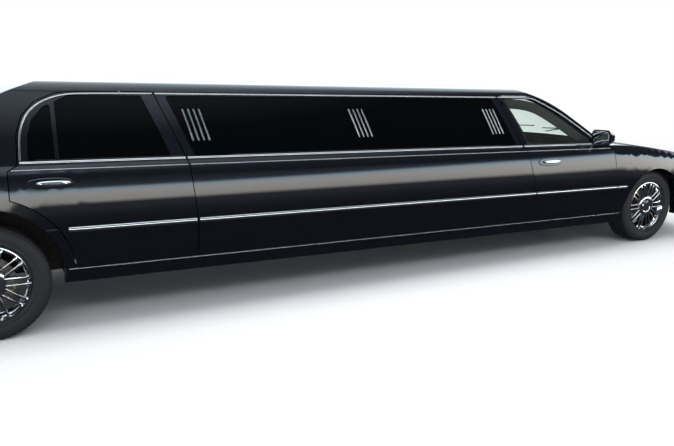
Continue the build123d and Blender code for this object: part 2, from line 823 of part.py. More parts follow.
# Floor and firewall as one pressing over the frame, with a tunnel over the gearbox's tail
trunk_end_x = tail_x + 210
floor_top = [
    (front_x - firewall_aft, 958),
    (front_x - firewall_aft, 560),
    (front_x - firewall_aft - 180, floor_low_z + floor_thick),
    (rear_x + step_foot, floor_low_z + floor_thick),
    (rear_x + step_head, axle_floor_z + floor_thick),
    (rear_x - step_head, axle_floor_z + floor_thick),
    (rear_x - step_foot, trunk_floor_z + floor_thick),
    (trunk_end_x, trunk_floor_z + floor_thick),
]
floor_foot = [(x, z - floor_thick) for x, z in floor_top]
floor_foot[:2] = [(x + floor_thick, z) for x, z in floor_top[:2]]
with BuildPart() as floor_pan:
    with BuildSketch(Plane.XZ):
        with BuildLine():
            Polyline(*floor_top, *reversed(floor_foot), close=True)
        make_face()
    extrude(amount=floor_w, both=True)
    for half_w, high, start, mode in (
        (tunnel_w, tunnel_high + floor_thick, tunnel_aft, Mode.ADD),
        (tunnel_w - floor_thick, tunnel_high, tunnel_aft - floor_thick, Mode.SUBTRACT),
    ):
        with BuildSketch(Plane.YZ.offset(front_x - start)) as tunnel:
            with BuildLine():
                Polyline(
                    (-half_w, floor_low_z),
                    (-half_w + 20, floor_low_z + high),
                    (half_w - 20, floor_low_z + high),
                    (half_w, floor_low_z),
                    close=True,
                )
            make_face()
        extrude(tunnel.sketch, amount=start - tunnel_end_aft, dir=(1, 0, 0), mode=mode)
    add(cabin.part, mode=Mode.INTERSECT)
    for axle_x, well_w in ((front_x, front_well_w), (rear_x, rear_well_w)):
        space = wheel_space(axle_x, arch_r + liner_wall + seat_gap, well_w - liner_wall - seat_gap)
        add(space, mode=Mode.SUBTRACT)
    with BuildSketch(Plane.XY) as bumper_corner:
        with BuildLine():
            Polyline(
                (rear_x - step_head, trunk_floor_w),
                (trunk_end_x + floor_corner_long - cut_over, trunk_floor_w),
                (trunk_end_x - cut_over, trunk_floor_w - floor_corner_w),
                (trunk_end_x - cut_over, widest_w),
                (rear_x - step_head, widest_w),
                close=True,
            )
        make_face()
        mirror(about=Plane.XZ)
    extrude(bumper_corner.sketch, amount=axle_floor_z - 20, mode=Mode.SUBTRACT)
save(on_wheels(floor_pan.part), "floor_pan")

# Frame: two rails that rise over the axles, tied by crossmembers
rail_top = [
    (nose_x - bumper_wall - rail_end_in, 440),
    (front_x - 440, 400),
    (front_x - 660, floor_low_z - seat_gap),
    (rear_x + step_foot - rail_step_in, floor_low_z - seat_gap),
    (rear_x + step_head - rail_step_in, axle_floor_z - seat_gap),
    (rear_x - step_head + rail_step_in, axle_floor_z - seat_gap),
    (rear_x - step_foot + rail_step_in, trunk_floor_z - seat_gap),
    (tail_x + bumper_wall + rail_end_in, trunk_floor_z - seat_gap),
]
with BuildPart() as frame:
    with BuildSketch(Plane.XZ.offset(-rail_in_w)) as rail_side:
        with BuildLine():
            Polyline(*rail_top, *[(x, z - rail_deep) for x, z in reversed(rail_top)], close=True)
        make_face()
    extrude(rail_side.sketch, amount=rail_out_w - rail_in_w, dir=(0, 1, 0))
    mirror(about=Plane.XZ)
    low = floor_low_z - seat_gap - rail_deep
    for i in range(cross_count):
        x = front_x - cross_first_aft - i * (wheelbase - cross_first_aft - 800) / (cross_count - 1)
        add(block(x - 35, x + 35, -rail_in_w, rail_in_w, low, low + 30))
    for x, z in ((nose_x - bumper_wall - 80, 440), (tail_x + bumper_wall + 80, trunk_floor_z)):
        add(block(x - 45, x + 45, -rail_in_w, rail_in_w, z - 90, z - 40))
save(on_wheels(frame.part), "chassis_frame")

# Wheels, in the road's frame: made about an axle along Y, outer face to -Y
with BuildPart() as tyre:
    with BuildSketch(Plane.XY):
        with BuildLine():
            Polyline(
                (rim_r, 0),
                (rim_r, tyre_bead_w),
                (rim_r + 40, tyre_w / 2),
                (tyre_r - 34, tyre_w / 2 - 3),
                (tyre_r - 8, tyre_w / 2 - 17),
                (tyre_r, tread_w),
                (tyre_r, 0),
            )
            mirror(about=Plane.XZ)
        make_face()
    revolve(axis=Axis.Y)

with BuildPart() as rim:
    with BuildSketch(Plane.XY):
        with BuildLine():
            Polyline(
                (rim_r - 14, -94),
                (rim_r - seat_gap, -94),
                (rim_r - seat_gap, 94),
                (rim_r - 14, 94),
                (rim_r - 22, 60),
                (rim_r - 30, -40),
                close=True,
            )
        make_face()
        with BuildLine():
            Polyline((0, -78), (hub_r - 22, -78), (hub_r, -66), (hub_r, 30), (0, 30), close=True)
        make_face()
        with BuildLine():
            Polyline((hub_r - 10, -21), (disc_r, -21), (disc_r, 3), (hub_r - 10, 3), close=True)
        make_face()
    revolve(axis=Axis.Y)
    with BuildSketch(Plane.XZ.offset(spoke_face - spoke_deep)) as spokes:
        with PolarLocations(0, spoke_pairs):
            for side in (1, -1):
                with BuildLine():
                    Polyline(
                        (hub_r - 12, side * 12),
                        (rim_r - 22, side * 26),
                        (rim_r - 22, side * 41),
                        (hub_r - 12, side * 27),
                        close=True,
                    )
                make_face()
    extrude(spokes.sketch, amount=spoke_deep, dir=(0, -1, 0))

for end, x, track in (("front", front_x, front_track), ("rear", rear_x, rear_track)):
    for side, sign in (("left", 1), ("right", -1)):
        place = Pos(x, sign * track / 2, tyre_r)
        if side == "left":
            place = place * Rot(0, 0, 180)
        save(place * tyre.part, f"{end}_{side}_tyre")
        save(place * rim.part, f"{end}_{side}_rim")

# Knuckles: an upright between the arms, with the hub's seat, brake caliper and ball seats
kingpin_w = front_track / 2 - kingpin_in
hub_back_w = front_track / 2 - 30 - seat_gap
with BuildPart() as knuckles:
    with BuildSketch(Plane.XZ.offset(-(kingpin_w - 60))) as upright:
        with Locations((front_x, tyre_r)):
            Rectangle(70, 2 * ball_rise)
            Circle(hub_r - 4)
    extrude(upright.sketch, amount=30, dir=(0, 1, 0))
    with BuildSketch(Plane.XZ.offset(-(kingpin_w - 32))) as seat:
        with Locations((front_x, tyre_r)):
            Circle(hub_r - 12)
    extrude(seat.sketch, amount=hub_back_w - (kingpin_w - 32), dir=(0, 1, 0))
    for z in (tyre_r - ball_rise, tyre_r + ball_rise - 24):
        with Locations((front_x, kingpin_w - 32, z)):
            Box(48, 64, 24, align=(Align.CENTER, Align.CENTER, Align.MIN))
        with Locations((front_x, kingpin_w, z)):
            Cylinder(ball_r, 24, align=(Align.CENTER, Align.CENTER, Align.MIN))
    mirror(about=Plane.XZ)
for side in ("left", "right"):
    save(knuckles.part, f"{side}_knuckle", side)

# Front suspension: a crossmember under the rails with lower and upper arms
with BuildPart() as front_suspension:
    rail_foot = road_height(front_x + 90, 410 - rail_deep) - seat_gap
    add(block(front_x - 90, front_x + 90, -rail_out_w, rail_out_w, rail_foot - 60, rail_foot))
    low_ball = tyre_r - ball_rise - seat_gap
    top_ball = tyre_r + ball_rise + seat_gap
    add(block(front_x - 24, front_x + 24, rail_out_w - 60, kingpin_w, low_ball - 24, low_ball))
    add(block(front_x - 80, front_x + 80, rail_out_w - 60, rail_out_w + 60, low_ball - 24, rail_foot - 30))
    add(block(front_x - 24, front_x + 24, rail_out_w + 10, kingpin_w, top_ball, top_ball + 24))
    add(block(front_x - 50, front_x + 50, rail_out_w + seat_gap, rail_out_w + 13, rail_foot - 50, top_ball + 24))
    for z in (low_ball - 24, top_ball):
        with Locations((front_x, kingpin_w, z)):
            Cylinder(ball_r, 24, align=(Align.CENTER, Align.CENTER, Align.MIN))
    mirror(about=Plane.XZ)
save(front_suspension.part, "front_suspension")

# Rear axle: tube with its round housing, wheel seats and springs under the rails
with BuildPart() as rear_axle:
    with BuildSketch(Plane.XY) as half:
        with BuildLine():
            Polyline(
                (0, -rear_hub_w),
                (hub_r - 12, -rear_hub_w),
                (hub_r - 12, -rear_hub_w + 40),
                (axle_tube_r, -rear_hub_w + 60),
                (axle_tube_r, -150),
                (120, -70),
                (135, 0),
            )
            mirror(about=Plane.XZ)
            Line((0, -rear_hub_w), (0, rear_hub_w))
        make_face()
    revolve(axis=Axis.Y)
    with BuildSketch(Plane.YZ.offset(80)) as pinion:
        Circle(58)
    extrude(pinion.sketch, amount=pinion_ahead - 80, dir=(1, 0, 0))
    spring_top = road_height(rear_x + 55, axle_floor_z - rail_deep) - tyre_r - 2 * seat_gap
    for side in (1, -1):
        with Locations((0, side * (rail_in_w + rail_out_w) / 2, axle_tube_r - 12)):
            Cylinder(54, spring_top - axle_tube_r + 12, align=(Align.CENTER, Align.CENTER, Align.MIN))
save(Pos(rear_x, 0, tyre_r) * rear_axle.part, "rear_axle")

# Engine as one block, gearbox and propeller shaft
with BuildPart() as engine:
    add(block(front_x - 300, front_x + 320, -250, 250, engine_low_z, engine_top_z))
    fillet(engine.edges().filter_by(Axis.X), 60)
save(on_wheels(engine.part), "engine_block")

with BuildPart() as driveline:
    with BuildSketch(Plane.YZ.offset(front_x - 300 - seat_gap)) as bell:
        with Locations((0, shaft_z + 6)):
            Circle(88)
    with BuildSketch(Plane.YZ.offset(front_x - 900)) as tail:
        with Locations((0, shaft_z)):
            Circle(42)
    loft([bell.sketch.face(), tail.sketch.face()])
    with BuildSketch(Plane.YZ.offset(front_x - 900)) as shaft:
        with Locations((0, shaft_z)):
            Circle(36)
    reach = front_x - 900 - (rear_x + pinion_ahead + 2)
    extrude(shaft.sketch, amount=reach, dir=(-1, 0, 0))
save(on_wheels(driveline.part), "gearbox_and_shaft")

# Twin exhaust: pipe, silencer and a tail pipe that climbs over the axle
cross_top_z = floor_low_z - seat_gap - rail_deep + 30
pipe_z = cross_top_z + seat_gap + pipe_r
with BuildPart() as exhaust:
    with BuildLine() as route:
        FilletPolyline(
            (front_x - 330, pipe_w, pipe_z),
            (rear_x + 520, pipe_w, pipe_z),
            (rear_x + 300, pipe_w, pipe_z + 150),
            (rear_x - 240, pipe_w, pipe_z + 150),
            (rear_x - 520, pipe_w, pipe_z + 36),
            (tail_x + bumper_wall + 150, pipe_w, pipe_z + 36),
            radius=90,
        )
    with BuildSketch(Plane(origin=route.line @ 0, z_dir=route.line % 0)) as bore:
        Circle(pipe_r)
    sweep(bore.sketch, path=route.line)
    with BuildSketch(Plane.YZ.offset(rear_x + 870)) as can:
        with Locations((pipe_w, pipe_z)):
            Ellipse(92, 46)
    extrude(can.sketch, amount=500, dir=(1, 0, 0))
    mirror(about=Plane.XZ)
save(on_wheels(exhaust.part), "exhaust")

# Cabin floor level for what stands on it
stand_z = floor_low_z + floor_thick + seat_gap


def seat_row(hip_x, y0, y1, foot_z, deep=520, tilt=150, back_high=640, faces=1):
    """A cushion and its leaning back across a width; faces=1 looks to the nose."""
    with BuildPart() as seat:
        with BuildSketch(Plane.XZ.offset(-y0)) as outline:
            with BuildLine():
                Polyline(
                    (hip_x, foot_z),
                    (hip_x + faces * deep, foot_z),
                    (hip_x + faces * (deep + 20), foot_z + 230),
                    (hip_x + faces * 130, foot_z + 270),
                    (hip_x - faces * (tilt - 130), foot_z + 270 + back_high - 90),
                    (hip_x - faces * tilt, foot_z + 270 + back_high - 90),
                    (hip_x - faces * 20, foot_z + 200),
                    close=True,
                )
            make_face()
            fillet(outline.vertices().sort_by(Axis.Y)[2:], 34)
        extrude(outline.sketch, amount=y1 - y0, dir=(0, 1, 0))
    return seat.part


front_hip_x = front_x - 1520
with BuildPart() as front_seats:
    for side in (1, -1):
        inner, outer = side * 90, side * 640
        add(seat_row(front_hip_x, min(inner, outer), max(inner, outer), stand_z))
        rest_z = stand_z + 270 + 560
        with Locations((front_hip_x - 92, side * 365, rest_z + 52)):
            Box(80, 250, 150)
save(on_wheels(front_seats.part), "front_seats")

with BuildPart() as rear_bench:
    add(seat_row(rear_x + 600, -bench_w, bench_w, stand_z, deep=500, tilt=230))
save(on_wheels(rear_bench.part), "rear_bench")

side_x0, side_x1 = rear_x + 1500, front_x - 2300
with BuildPart() as side_bench:
    with BuildSketch(Plane.YZ.offset(side_x0)) as outline:
        with BuildLine():
            Polyline(
                (300, stand_z),
                (800, stand_z),
                (800, 940),
                (700, 940),
                (680, 640),
                (290, 620),
                close=True,
            )
        make_face()
        fillet(outline.vertices().sort_by(Axis.Y)[0:2], 30)
    extrude(outline.sketch, amount=side_x1 - side_x0, dir=(1, 0, 0))
save(on_wheels(side_bench.part), "side_bench")

with BuildPart() as bar_cabinet:
    add(block(side_x0 + 300, side_x1 - 200, -800, -430, stand_z, 800))
    with Locations(((side_x0 + side_x1) / 2 + 50, -430, 640)):
        with GridLocations(bar_bay_pitch, 1, bar_bays, 1):
            Box(bar_bay_pitch - 60, 300, 220, mode=Mode.SUBTRACT)
    fillet(bar_cabinet.edges().filter_by(Axis.X).group_by(Axis.Z)[-1], 20)
save(on_wheels(bar_cabinet.part), "bar_cabinet")

# Divider behind the front seats, with its window
wall_x = front_x - divider_aft
with BuildPart() as divider:
    add(cabin.part)
    add(block(wall_x - 25, wall_x, -far, far, stand_z, roof_z), mode=Mode.INTERSECT)
    add(block(wall_x - 90, wall_x + 90, -460, 460, 930, 1290), mode=Mode.SUBTRACT)
save(on_wheels(divider.part), "divider")

# Shelf under the rear window, from the seat back to the deck
with BuildPart() as shelf:
    add(cabin.part)
    add(block(rear_x - trunk_front_aft + 100, rear_x + 300, -800, 800, 940, 958), mode=Mode.INTERSECT)
save(on_wheels(shelf.part), "rear_shelf")

# Dashboard, hung on the firewall, with the steering column and wheel
dash_front_x = front_x - firewall_aft - seat_gap
with BuildPart() as dashboard:
    with BuildSketch(Plane.XZ) as outline:
        with BuildLine():
            Polyline(
                (dash_front_x, 700),
                (dash_front_x, 930),
                (dash_front_x - 260, 952),
                (dash_front_x - 390, 905),
                (dash_front_x - 400, 760),
                (dash_front_x - 300, 640),
                close=True,
            )
        make_face()
        fillet(outline.vertices().sort_by(Axis.X)[:3], 30)
    extrude(amount=780, both=True)
save(on_wheels(dashboard.part), "dashboard")

column_x = dash_front_x - 400
with BuildPart() as steering_wheel:
    with BuildSketch(Plane.XZ) as grip:
        with Locations((steering_r, 0)):
            RegularPolygon(steering_grip_r, 8)
    revolve(axis=Axis.Z)
    with BuildSketch(Plane.XY.offset(-14)):
        Circle(62)
        Rectangle(2 * steering_r - 10, 44)
        with Locations((0, -steering_r / 2)):
            Rectangle(40, steering_r - 10)
    extrude(amount=24)
    with Locations((0, 0, -14)):
        Cylinder(32, column_long, align=(Align.CENTER, Align.CENTER, Align.MAX))
column_out = column_long + 14 + column_gap
column_place = Pos(column_x, 370, 800) * Rot(0, -68, 0) * Pos(0, 0, column_out)
save(on_wheels(column_place * steering_wheel.part), "steering_wheel")

# Door mirrors: a shell on a stalk, its glass side cut square
with BuildPart() as mirrors:
    with BuildSketch(Plane.YZ.offset(mirror_x)) as face:
        with Locations((mirror_w, mirror_z)):
            RectangleRounded(210, 145, 40)
    with BuildSketch(Plane.YZ.offset(mirror_x + 105)) as nose:
        with Locations((mirror_w - 10, mirror_z)):
            RectangleRounded(150, 90, 30)
    loft([face.sketch.face(), nose.sketch.face()])
    with BuildSketch(Plane.XZ.offset(-(mirror_w - 80))) as foot:
        with Locations((mirror_x + 60, mirror_z - 40)):
            Rectangle(60, 44)
    extrude(foot.sketch, amount=-(mirror_w - 80 - 780), dir=(0, 1, 0))
    mirror(about=Plane.XZ)
    add(shell.part, mode=Mode.SUBTRACT)
    add(block(tail_x, nose_x, -860, 860, 0, roof_z), mode=Mode.SUBTRACT)
for side in ("left", "right"):
    save(on_wheels(mirrors.part), f"{side}_mirror", side)
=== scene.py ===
import json
import math

import bmesh
import bpy
from mathutils import Matrix, Vector
from mathutils.bvhtree import BVHTree


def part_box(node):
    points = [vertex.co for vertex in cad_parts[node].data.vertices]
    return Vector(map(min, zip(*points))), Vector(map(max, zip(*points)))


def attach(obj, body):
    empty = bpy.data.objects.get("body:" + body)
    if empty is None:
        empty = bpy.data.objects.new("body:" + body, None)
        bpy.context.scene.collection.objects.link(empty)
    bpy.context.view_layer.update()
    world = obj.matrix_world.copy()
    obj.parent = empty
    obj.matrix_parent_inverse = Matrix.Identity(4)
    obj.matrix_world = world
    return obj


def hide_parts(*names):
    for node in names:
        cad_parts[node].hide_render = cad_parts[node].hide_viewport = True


# The looks of a black stretch limousine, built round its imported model, in metres.

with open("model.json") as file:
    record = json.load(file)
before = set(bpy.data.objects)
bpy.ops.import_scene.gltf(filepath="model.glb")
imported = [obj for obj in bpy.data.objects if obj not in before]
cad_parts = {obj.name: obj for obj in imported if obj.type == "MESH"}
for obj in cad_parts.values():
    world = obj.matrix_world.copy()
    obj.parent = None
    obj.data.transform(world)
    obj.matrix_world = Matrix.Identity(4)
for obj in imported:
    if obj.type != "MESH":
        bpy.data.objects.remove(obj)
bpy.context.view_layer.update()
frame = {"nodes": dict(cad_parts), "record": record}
nodes = frame["nodes"]

MM = 0.001
SIDES = ((1, "left"), (-1, "right"))


def centre(node):
    """The middle of a CAD node's box."""
    low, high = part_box(node)
    return (low + high) / 2


# The car's own measures, taken from its wheels, and the rake that its body stands at
axle_front = centre("front_left_rim")
axle_rear = centre("rear_left_rim")
FRONT_X = axle_front.x / MM
REAR_X = axle_rear.x / MM
PIVOT_X = (FRONT_X + REAR_X) / 2
PIVOT_Z = 430.0
RAKE = math.radians(0.8)


def placed(x, z):
    """A point of the level body, in millimetres, as it stands on its wheels, in metres."""
    dx, dz = x - PIVOT_X, z - PIVOT_Z
    return (
        (PIVOT_X + dx * math.cos(RAKE) + dz * math.sin(RAKE)) * MM,
        (PIVOT_Z - dx * math.sin(RAKE) + dz * math.cos(RAKE)) * MM,
    )


# Colours and node helpers
def linear(hex_colour):
    """An sRGB hex value as the linear colour that a shader takes."""
    parts = [int(hex_colour[i : i + 2], 16) / 255 for i in (1, 3, 5)]
    return (*[c / 12.92 if c <= 0.04045 else ((c + 0.055) / 1.055) ** 2.4 for c in parts], 1.0)


def add(tree, kind, inputs=None, **settings):
    """Add one node, with its settings, and its inputs set or linked."""
    node = tree.nodes.new(kind)
    for name, value in settings.items():
        setattr(node, name, value)
    for name, value in (inputs or {}).items():
        if isinstance(value, bpy.types.NodeSocket):
            tree.links.new(value, node.inputs[name])
        else:
            node.inputs[name].default_value = value
    return node


def finish(name, values):
    """A new material with values set on its shader; returns it with its tree and shader."""
    material = bpy.data.materials.new(name)
    material.use_nodes = True
    shader = material.node_tree.nodes["Principled BSDF"]
    for socket, value in values.items():
        shader.inputs[socket].default_value = value
    return material, material.node_tree, shader


def grain(tree, shader, size_mm, height_mm, detail=3.0, stretch=(1.0, 1.0, 1.0)):
    """Fine relief of a real size on the whole surface; returns the noise."""
    place = add(tree, "ShaderNodeTexCoord")
    turned_place = add(tree, "ShaderNodeMapping", {"Vector": place.outputs["Object"], "Scale": stretch})
    noise = add(
        tree,
        "ShaderNodeTexNoise",
        {"Vector": turned_place.outputs["Vector"], "Scale": 1 / (size_mm * MM), "Detail": detail},
    )
    bump = add(
        tree,
        "ShaderNodeBump",
        {"Height": noise.outputs["Fac"], "Distance": height_mm * MM, "Strength": 1.0},
    )
    tree.links.new(bump.outputs["Normal"], shader.inputs["Normal"])
    return noise


def shades(tree, shader, factor, colours, low=0.35, high=0.65):
    """Colour that wanders between two shades with a pattern."""
    ramp = add(tree, "ShaderNodeValToRGB", {"Fac": factor})
    ramp.color_ramp.elements[0].position = low
    ramp.color_ramp.elements[1].position = high
    for element, colour in zip(ramp.color_ramp.elements, colours):
        element.color = linear(colour)
    tree.links.new(ramp.outputs["Color"], shader.inputs["Base Color"])


def polish(tree, shader, factor, least, most):
    """Roughness that wanders between two limits with a pattern."""
    run = add(tree, "ShaderNodeMapRange", {"Value": factor, "To Min": least, "To Max": most})
    tree.links.new(run.outputs["Result"], shader.inputs["Roughness"])


# Materials
def black_lacquer():
    """Two-layer automotive lacquer: black base under clear coat, deep and wet with faint peel."""
    material, tree, shader = finish(
        "black_clearcoat_lacquer",
        {
            "Base Color": linear("#0B0D13"),
            "Specular IOR Level": 0.25,
            "Coat Weight": 1.0,
            "Coat Roughness": 0.02,
            "Coat IOR": 1.6,
        },
    )
    noise = grain(tree, shader, 9, 0.004, 2.0)
    polish(tree, shader, noise.outputs["Fac"], 0.1, 0.16)
    return material


def bright_chrome():
    """Electroplated chrome on smooth steel: mirror bright, faintly uneven from polishing."""
    material, tree, shader = finish(
        "plated_chrome", {"Base Color": linear("#F1F2F4"), "Metallic": 1.0, "Roughness": 0.1}
    )
    noise = grain(tree, shader, 22, 0.02, 1.0)
    polish(tree, shader, noise.outputs["Fac"], 0.08, 0.15)
    return material


def glazing(name, colour, through):
    """Toughened car glass: smooth, with its tint in the depth of the pane."""
    material, tree, shader = finish(
        name,
        {
            "Base Color": linear(colour),
            "Transmission Weight": through,
            "Roughness": 0.0,
            "IOR": 1.12,
            "Coat Weight": 0.25,
        },
    )
    grain(tree, shader, 420, 0.03, 0.0)
    return material


def grained(name, values, size_mm, height_mm, colours, detail=3.0, stretch=(1.0, 1.0, 1.0)):
    """A finish with fine relief, whose colour wanders between two shades with it."""
    material, tree, shader = finish(name, values)
    noise = grain(tree, shader, size_mm, height_mm, detail, stretch)
    shades(tree, shader, noise.outputs["Fac"], colours)
    return material


def seat_leather():
    """Pigmented cow leather over foam: fine pebbled grain, soft sheen, and painted shade that darkens
    the hollows between its pebbles.
    """
    material, tree, shader = finish(
        "pebbled_cow_leather", {"Roughness": 0.45, "Sheen Weight": 0.15, "Coat Weight": 0.1}
    )
    place = add(tree, "ShaderNodeTexCoord")
    cells = add(
        tree,
        "ShaderNodeTexVoronoi",
        {"Vector": place.outputs["Object"], "Scale": 1 / (3.5 * MM)},
        feature="DISTANCE_TO_EDGE",
    )
    bump = add(
        tree,
        "ShaderNodeBump",
        {"Height": cells.outputs["Distance"], "Distance": 0.4 * MM, "Strength": 0.8},
    )
    tree.links.new(bump.outputs["Normal"], shader.inputs["Normal"])
    # Painted shade: the colour is darkest where the grain's bump is lowest, at the edges of its cells
    shades(tree, shader, cells.outputs["Distance"], ("#1D1B1A", "#34312E"), low=0.0, high=0.3)
    return material


def lens(name, colour, rib_mm, through):
    """A moulded acrylic lamp lens with upright ribs inside it."""
    material, tree, shader = finish(
        name,
        {
            "Base Color": linear(colour),
            "Transmission Weight": through,
            "Roughness": 0.05,
            "IOR": 1.49,
        },
    )
    place = add(tree, "ShaderNodeTexCoord")
    ribs = add(
        tree,
        "ShaderNodeTexWave",
        {"Vector": place.outputs["Object"], "Scale": 0.314 / (rib_mm * MM), "Distortion": 0.0},
        bands_direction="Y",
    )
    bump = add(
        tree, "ShaderNodeBump", {"Height": ribs.outputs["Fac"], "Distance": 1.5 * MM, "Strength": 0.7}
    )
    tree.links.new(bump.outputs["Normal"], shader.inputs["Normal"])
    return material


def silvered_glass():
    """Silvered mirror glass behind a clear pane."""
    material, tree, shader = finish(
        "silvered_mirror_glass", {"Base Color": linear("#D5DADF"), "Metallic": 1.0, "Roughness": 0.02}
    )
    grain(tree, shader, 120, 0.01, 0.0)
    return material


paint = black_lacquer()
chrome = bright_chrome()
privacy_glass = glazing("privacy_tinted_glass", "#050607", 0.35)
cabin_glass = glazing("green_tinted_glass", "#EEF7F3", 1.0)
leather = seat_leather()
clear_lens = lens("clear_acrylic_lens", "#EEF3F5", 14, 0.97)
red_lens = lens("red_acrylic_lens", "#9C0A10", 7, 0.5)
mirror_glass = silvered_glass()

# Vulcanised tyre rubber: matt, nearly black, lightly greyed by dust
rubber = grained(
    "vulcanised_rubber",
    {"Roughness": 0.55, "Specular IOR Level": 0.45},
    2.5,
    0.2,
    ("#1B1C1E", "#2C2D2F"),
)
# Injection moulded ABS with a fine leather-like grain, satin
black_plastic = grained(
    "moulded_black_plastic", {"Roughness": 0.5}, 1.6, 0.12, ("#0E0E10", "#1A1A1C")
)
# Extruded sealing rubber: dull and even
seal = grained("extruded_seal_rubber", {"Roughness": 0.7}, 4, 0.1, ("#101011", "#19191A"))
# Sprayed underbody coating over steel: lumpy, dull black with road dust
underbody = grained("sprayed_underseal", {"Roughness": 0.85}, 12, 0.8, ("#151412", "#2B2824"), 5.0)
# Dipped chassis enamel: satin black with dusty patches
chassis = grained("dipped_chassis_enamel", {"Roughness": 0.5}, 60, 0.3, ("#17171A", "#2C2A27"), 6.0)
# Sand cast aluminium and iron: grey, rough skinned
cast = grained(
    "sand_cast_metal", {"Metallic": 0.9, "Roughness": 0.55}, 3, 0.4, ("#6A6A69", "#8E8E8C"), 6.0
)
# A machined iron brake disc, worn bright with a trace of rust
disc_iron = grained(
    "turned_brake_iron", {"Metallic": 1.0, "Roughness": 0.38}, 18, 0.05, ("#77706A", "#A3A2A0"), 4.0
)
# Stainless exhaust tube: satin, straw tinted by heat
stainless = grained(
    "heat_tinted_stainless", {"Metallic": 1.0, "Roughness": 0.35}, 70, 0.05, ("#8C8478", "#B4B0A8")
)
# Cut pile carpet: soft, light-swallowing tufts
carpet = grained(
    "cut_pile_carpet", {"Roughness": 0.95, "Sheen Weight": 0.4}, 4, 1.5, ("#161617", "#2A2A2C"), 4.0
)
# Lacquered walnut veneer: long dark figure along the cabinet under a clear coat
veneer = grained(
    "lacquered_walnut_veneer",
    {"Roughness": 0.3, "Coat Weight": 0.6},
    30,
    0.02,
    ("#2A1710", "#54301E"),
    8.0,
    (0.12, 1.0, 1.0),
)
# Reflective sheeting of a blank number plate: white with a glass bead grain
plate_white = grained("blank_plate_sheeting", {"Roughness": 0.45}, 1.5, 0.05, ("#D9DBDC", "#EEF0F0"))


# Geometry node trees for what repeats or follows a line
def new_tree(name, sockets):
    """An empty geometry tree with a geometry input and output and named inputs."""
    tree = bpy.data.node_groups.new(name, "GeometryNodeTree")
    tree.interface.new_socket("Geometry", in_out="INPUT", socket_type="NodeSocketGeometry")
    for label, kind in sockets:
        tree.interface.new_socket(label, in_out="INPUT", socket_type=kind)
    tree.interface.new_socket("Geometry", in_out="OUTPUT", socket_type="NodeSocketGeometry")
    return tree, add(tree, "NodeGroupInput"), add(tree, "NodeGroupOutput")


def ring_tree():
    """Copies of a piece at equal turns about its own Y axis."""
    tree, given, result = new_tree(
        "copies_about_an_axle", [("Count", "NodeSocketInt"), ("Material", "NodeSocketMaterial")]
    )
    one = add(tree, "GeometryNodeGeometryToInstance", {0: given.outputs["Geometry"]})
    many = add(
        tree,
        "GeometryNodeDuplicateElements",
        {"Geometry": one.outputs[0], "Amount": given.outputs["Count"]},
        domain="INSTANCE",
    )
    step = add(tree, "ShaderNodeMath", {0: math.tau, 1: given.outputs["Count"]}, operation="DIVIDE")
    angle = add(
        tree,
        "ShaderNodeMath",
        {0: many.outputs["Duplicate Index"], 1: step.outputs[0]},
        operation="MULTIPLY",
    )
    turn = add(tree, "ShaderNodeCombineXYZ", {"Y": angle.outputs[0]})
    turned_copies = add(
        tree,
        "GeometryNodeRotateInstances",
        {
            "Instances": many.outputs["Geometry"],
            "Rotation": turn.outputs[0],
            "Pivot Point": (0, 0, 0),
            "Local Space": False,
        },
    )
    real = add(tree, "GeometryNodeRealizeInstances", {"Geometry": turned_copies.outputs[0]})
    coated = add(
        tree,
        "GeometryNodeSetMaterial",
        {"Geometry": real.outputs[0], "Material": given.outputs["Material"]},
    )
    tree.links.new(coated.outputs[0], result.inputs[0])
    return tree


def strip_tree():
    """A crowned moulding along a line, as wide and as proud as it is told."""
    tree, given, result = new_tree(
        "moulding_along_a_line",
        [
            ("Width", "NodeSocketFloat"),
            ("Proud", "NodeSocketFloat"),
            ("Material", "NodeSocketMaterial"),
        ],
    )
    ring = add(tree, "GeometryNodeCurvePrimitiveCircle", {"Resolution": 12, "Radius": 1.0})
    half_w = add(tree, "ShaderNodeMath", {0: given.outputs["Width"], 1: 0.5}, operation="MULTIPLY")
    size = add(
        tree,
        "ShaderNodeCombineXYZ",
        {"X": given.outputs["Proud"], "Y": half_w.outputs[0], "Z": 1.0},
    )
    section = add(
        tree,
        "GeometryNodeTransform",
        {"Geometry": ring.outputs["Curve"], "Scale": size.outputs[0]},
    )
    swept = add(
        tree,
        "GeometryNodeCurveToMesh",
        {
            "Curve": given.outputs["Geometry"],
            "Profile Curve": section.outputs["Geometry"],
            "Fill Caps": True,
        },
    )
    smooth = add(tree, "GeometryNodeSetShadeSmooth", {"Geometry": swept.outputs["Mesh"]})
    coated = add(
        tree,
        "GeometryNodeSetMaterial",
        {"Geometry": smooth.outputs[0], "Material": given.outputs["Material"]},
    )
    tree.links.new(coated.outputs[0], result.inputs[0])
    return tree


RING = ring_tree()
STRIP = strip_tree()


def made(source):
    """The plain mesh that an object's modifiers make; the object is then removed."""
    bpy.context.scene.collection.objects.link(source)
    bpy.context.view_layer.update()
    scene_now = bpy.context.evaluated_depsgraph_get()
    mesh = bpy.data.meshes.new_from_object(source.evaluated_get(scene_now), depsgraph=scene_now)
    bpy.data.objects.remove(source)
    return mesh


def grown(source, tree, **values):
    """The plain mesh that a tree makes from an object."""
    modifier = source.modifiers.new("tree", "NODES")
    modifier.node_group = tree
    for item in tree.interface.items_tree:
        if item.in_out == "INPUT" and item.name in values:
            modifier[item.identifier] = values[item.name]
    return made(source)


# Meshes
def build(verts, faces):
    """A mesh from its points and faces, its faces turned outwards."""
    mesh = bpy.data.meshes.new("shape")
    mesh.from_pydata([tuple(v) for v in verts], [], faces)
    shape = bmesh.new()
    shape.from_mesh(mesh)
    bmesh.ops.remove_doubles(shape, verts=shape.verts, dist=0.001 * MM)
    bmesh.ops.recalc_face_normals(shape, faces=shape.faces)
    shape.to_mesh(mesh)
    shape.free()
    return mesh


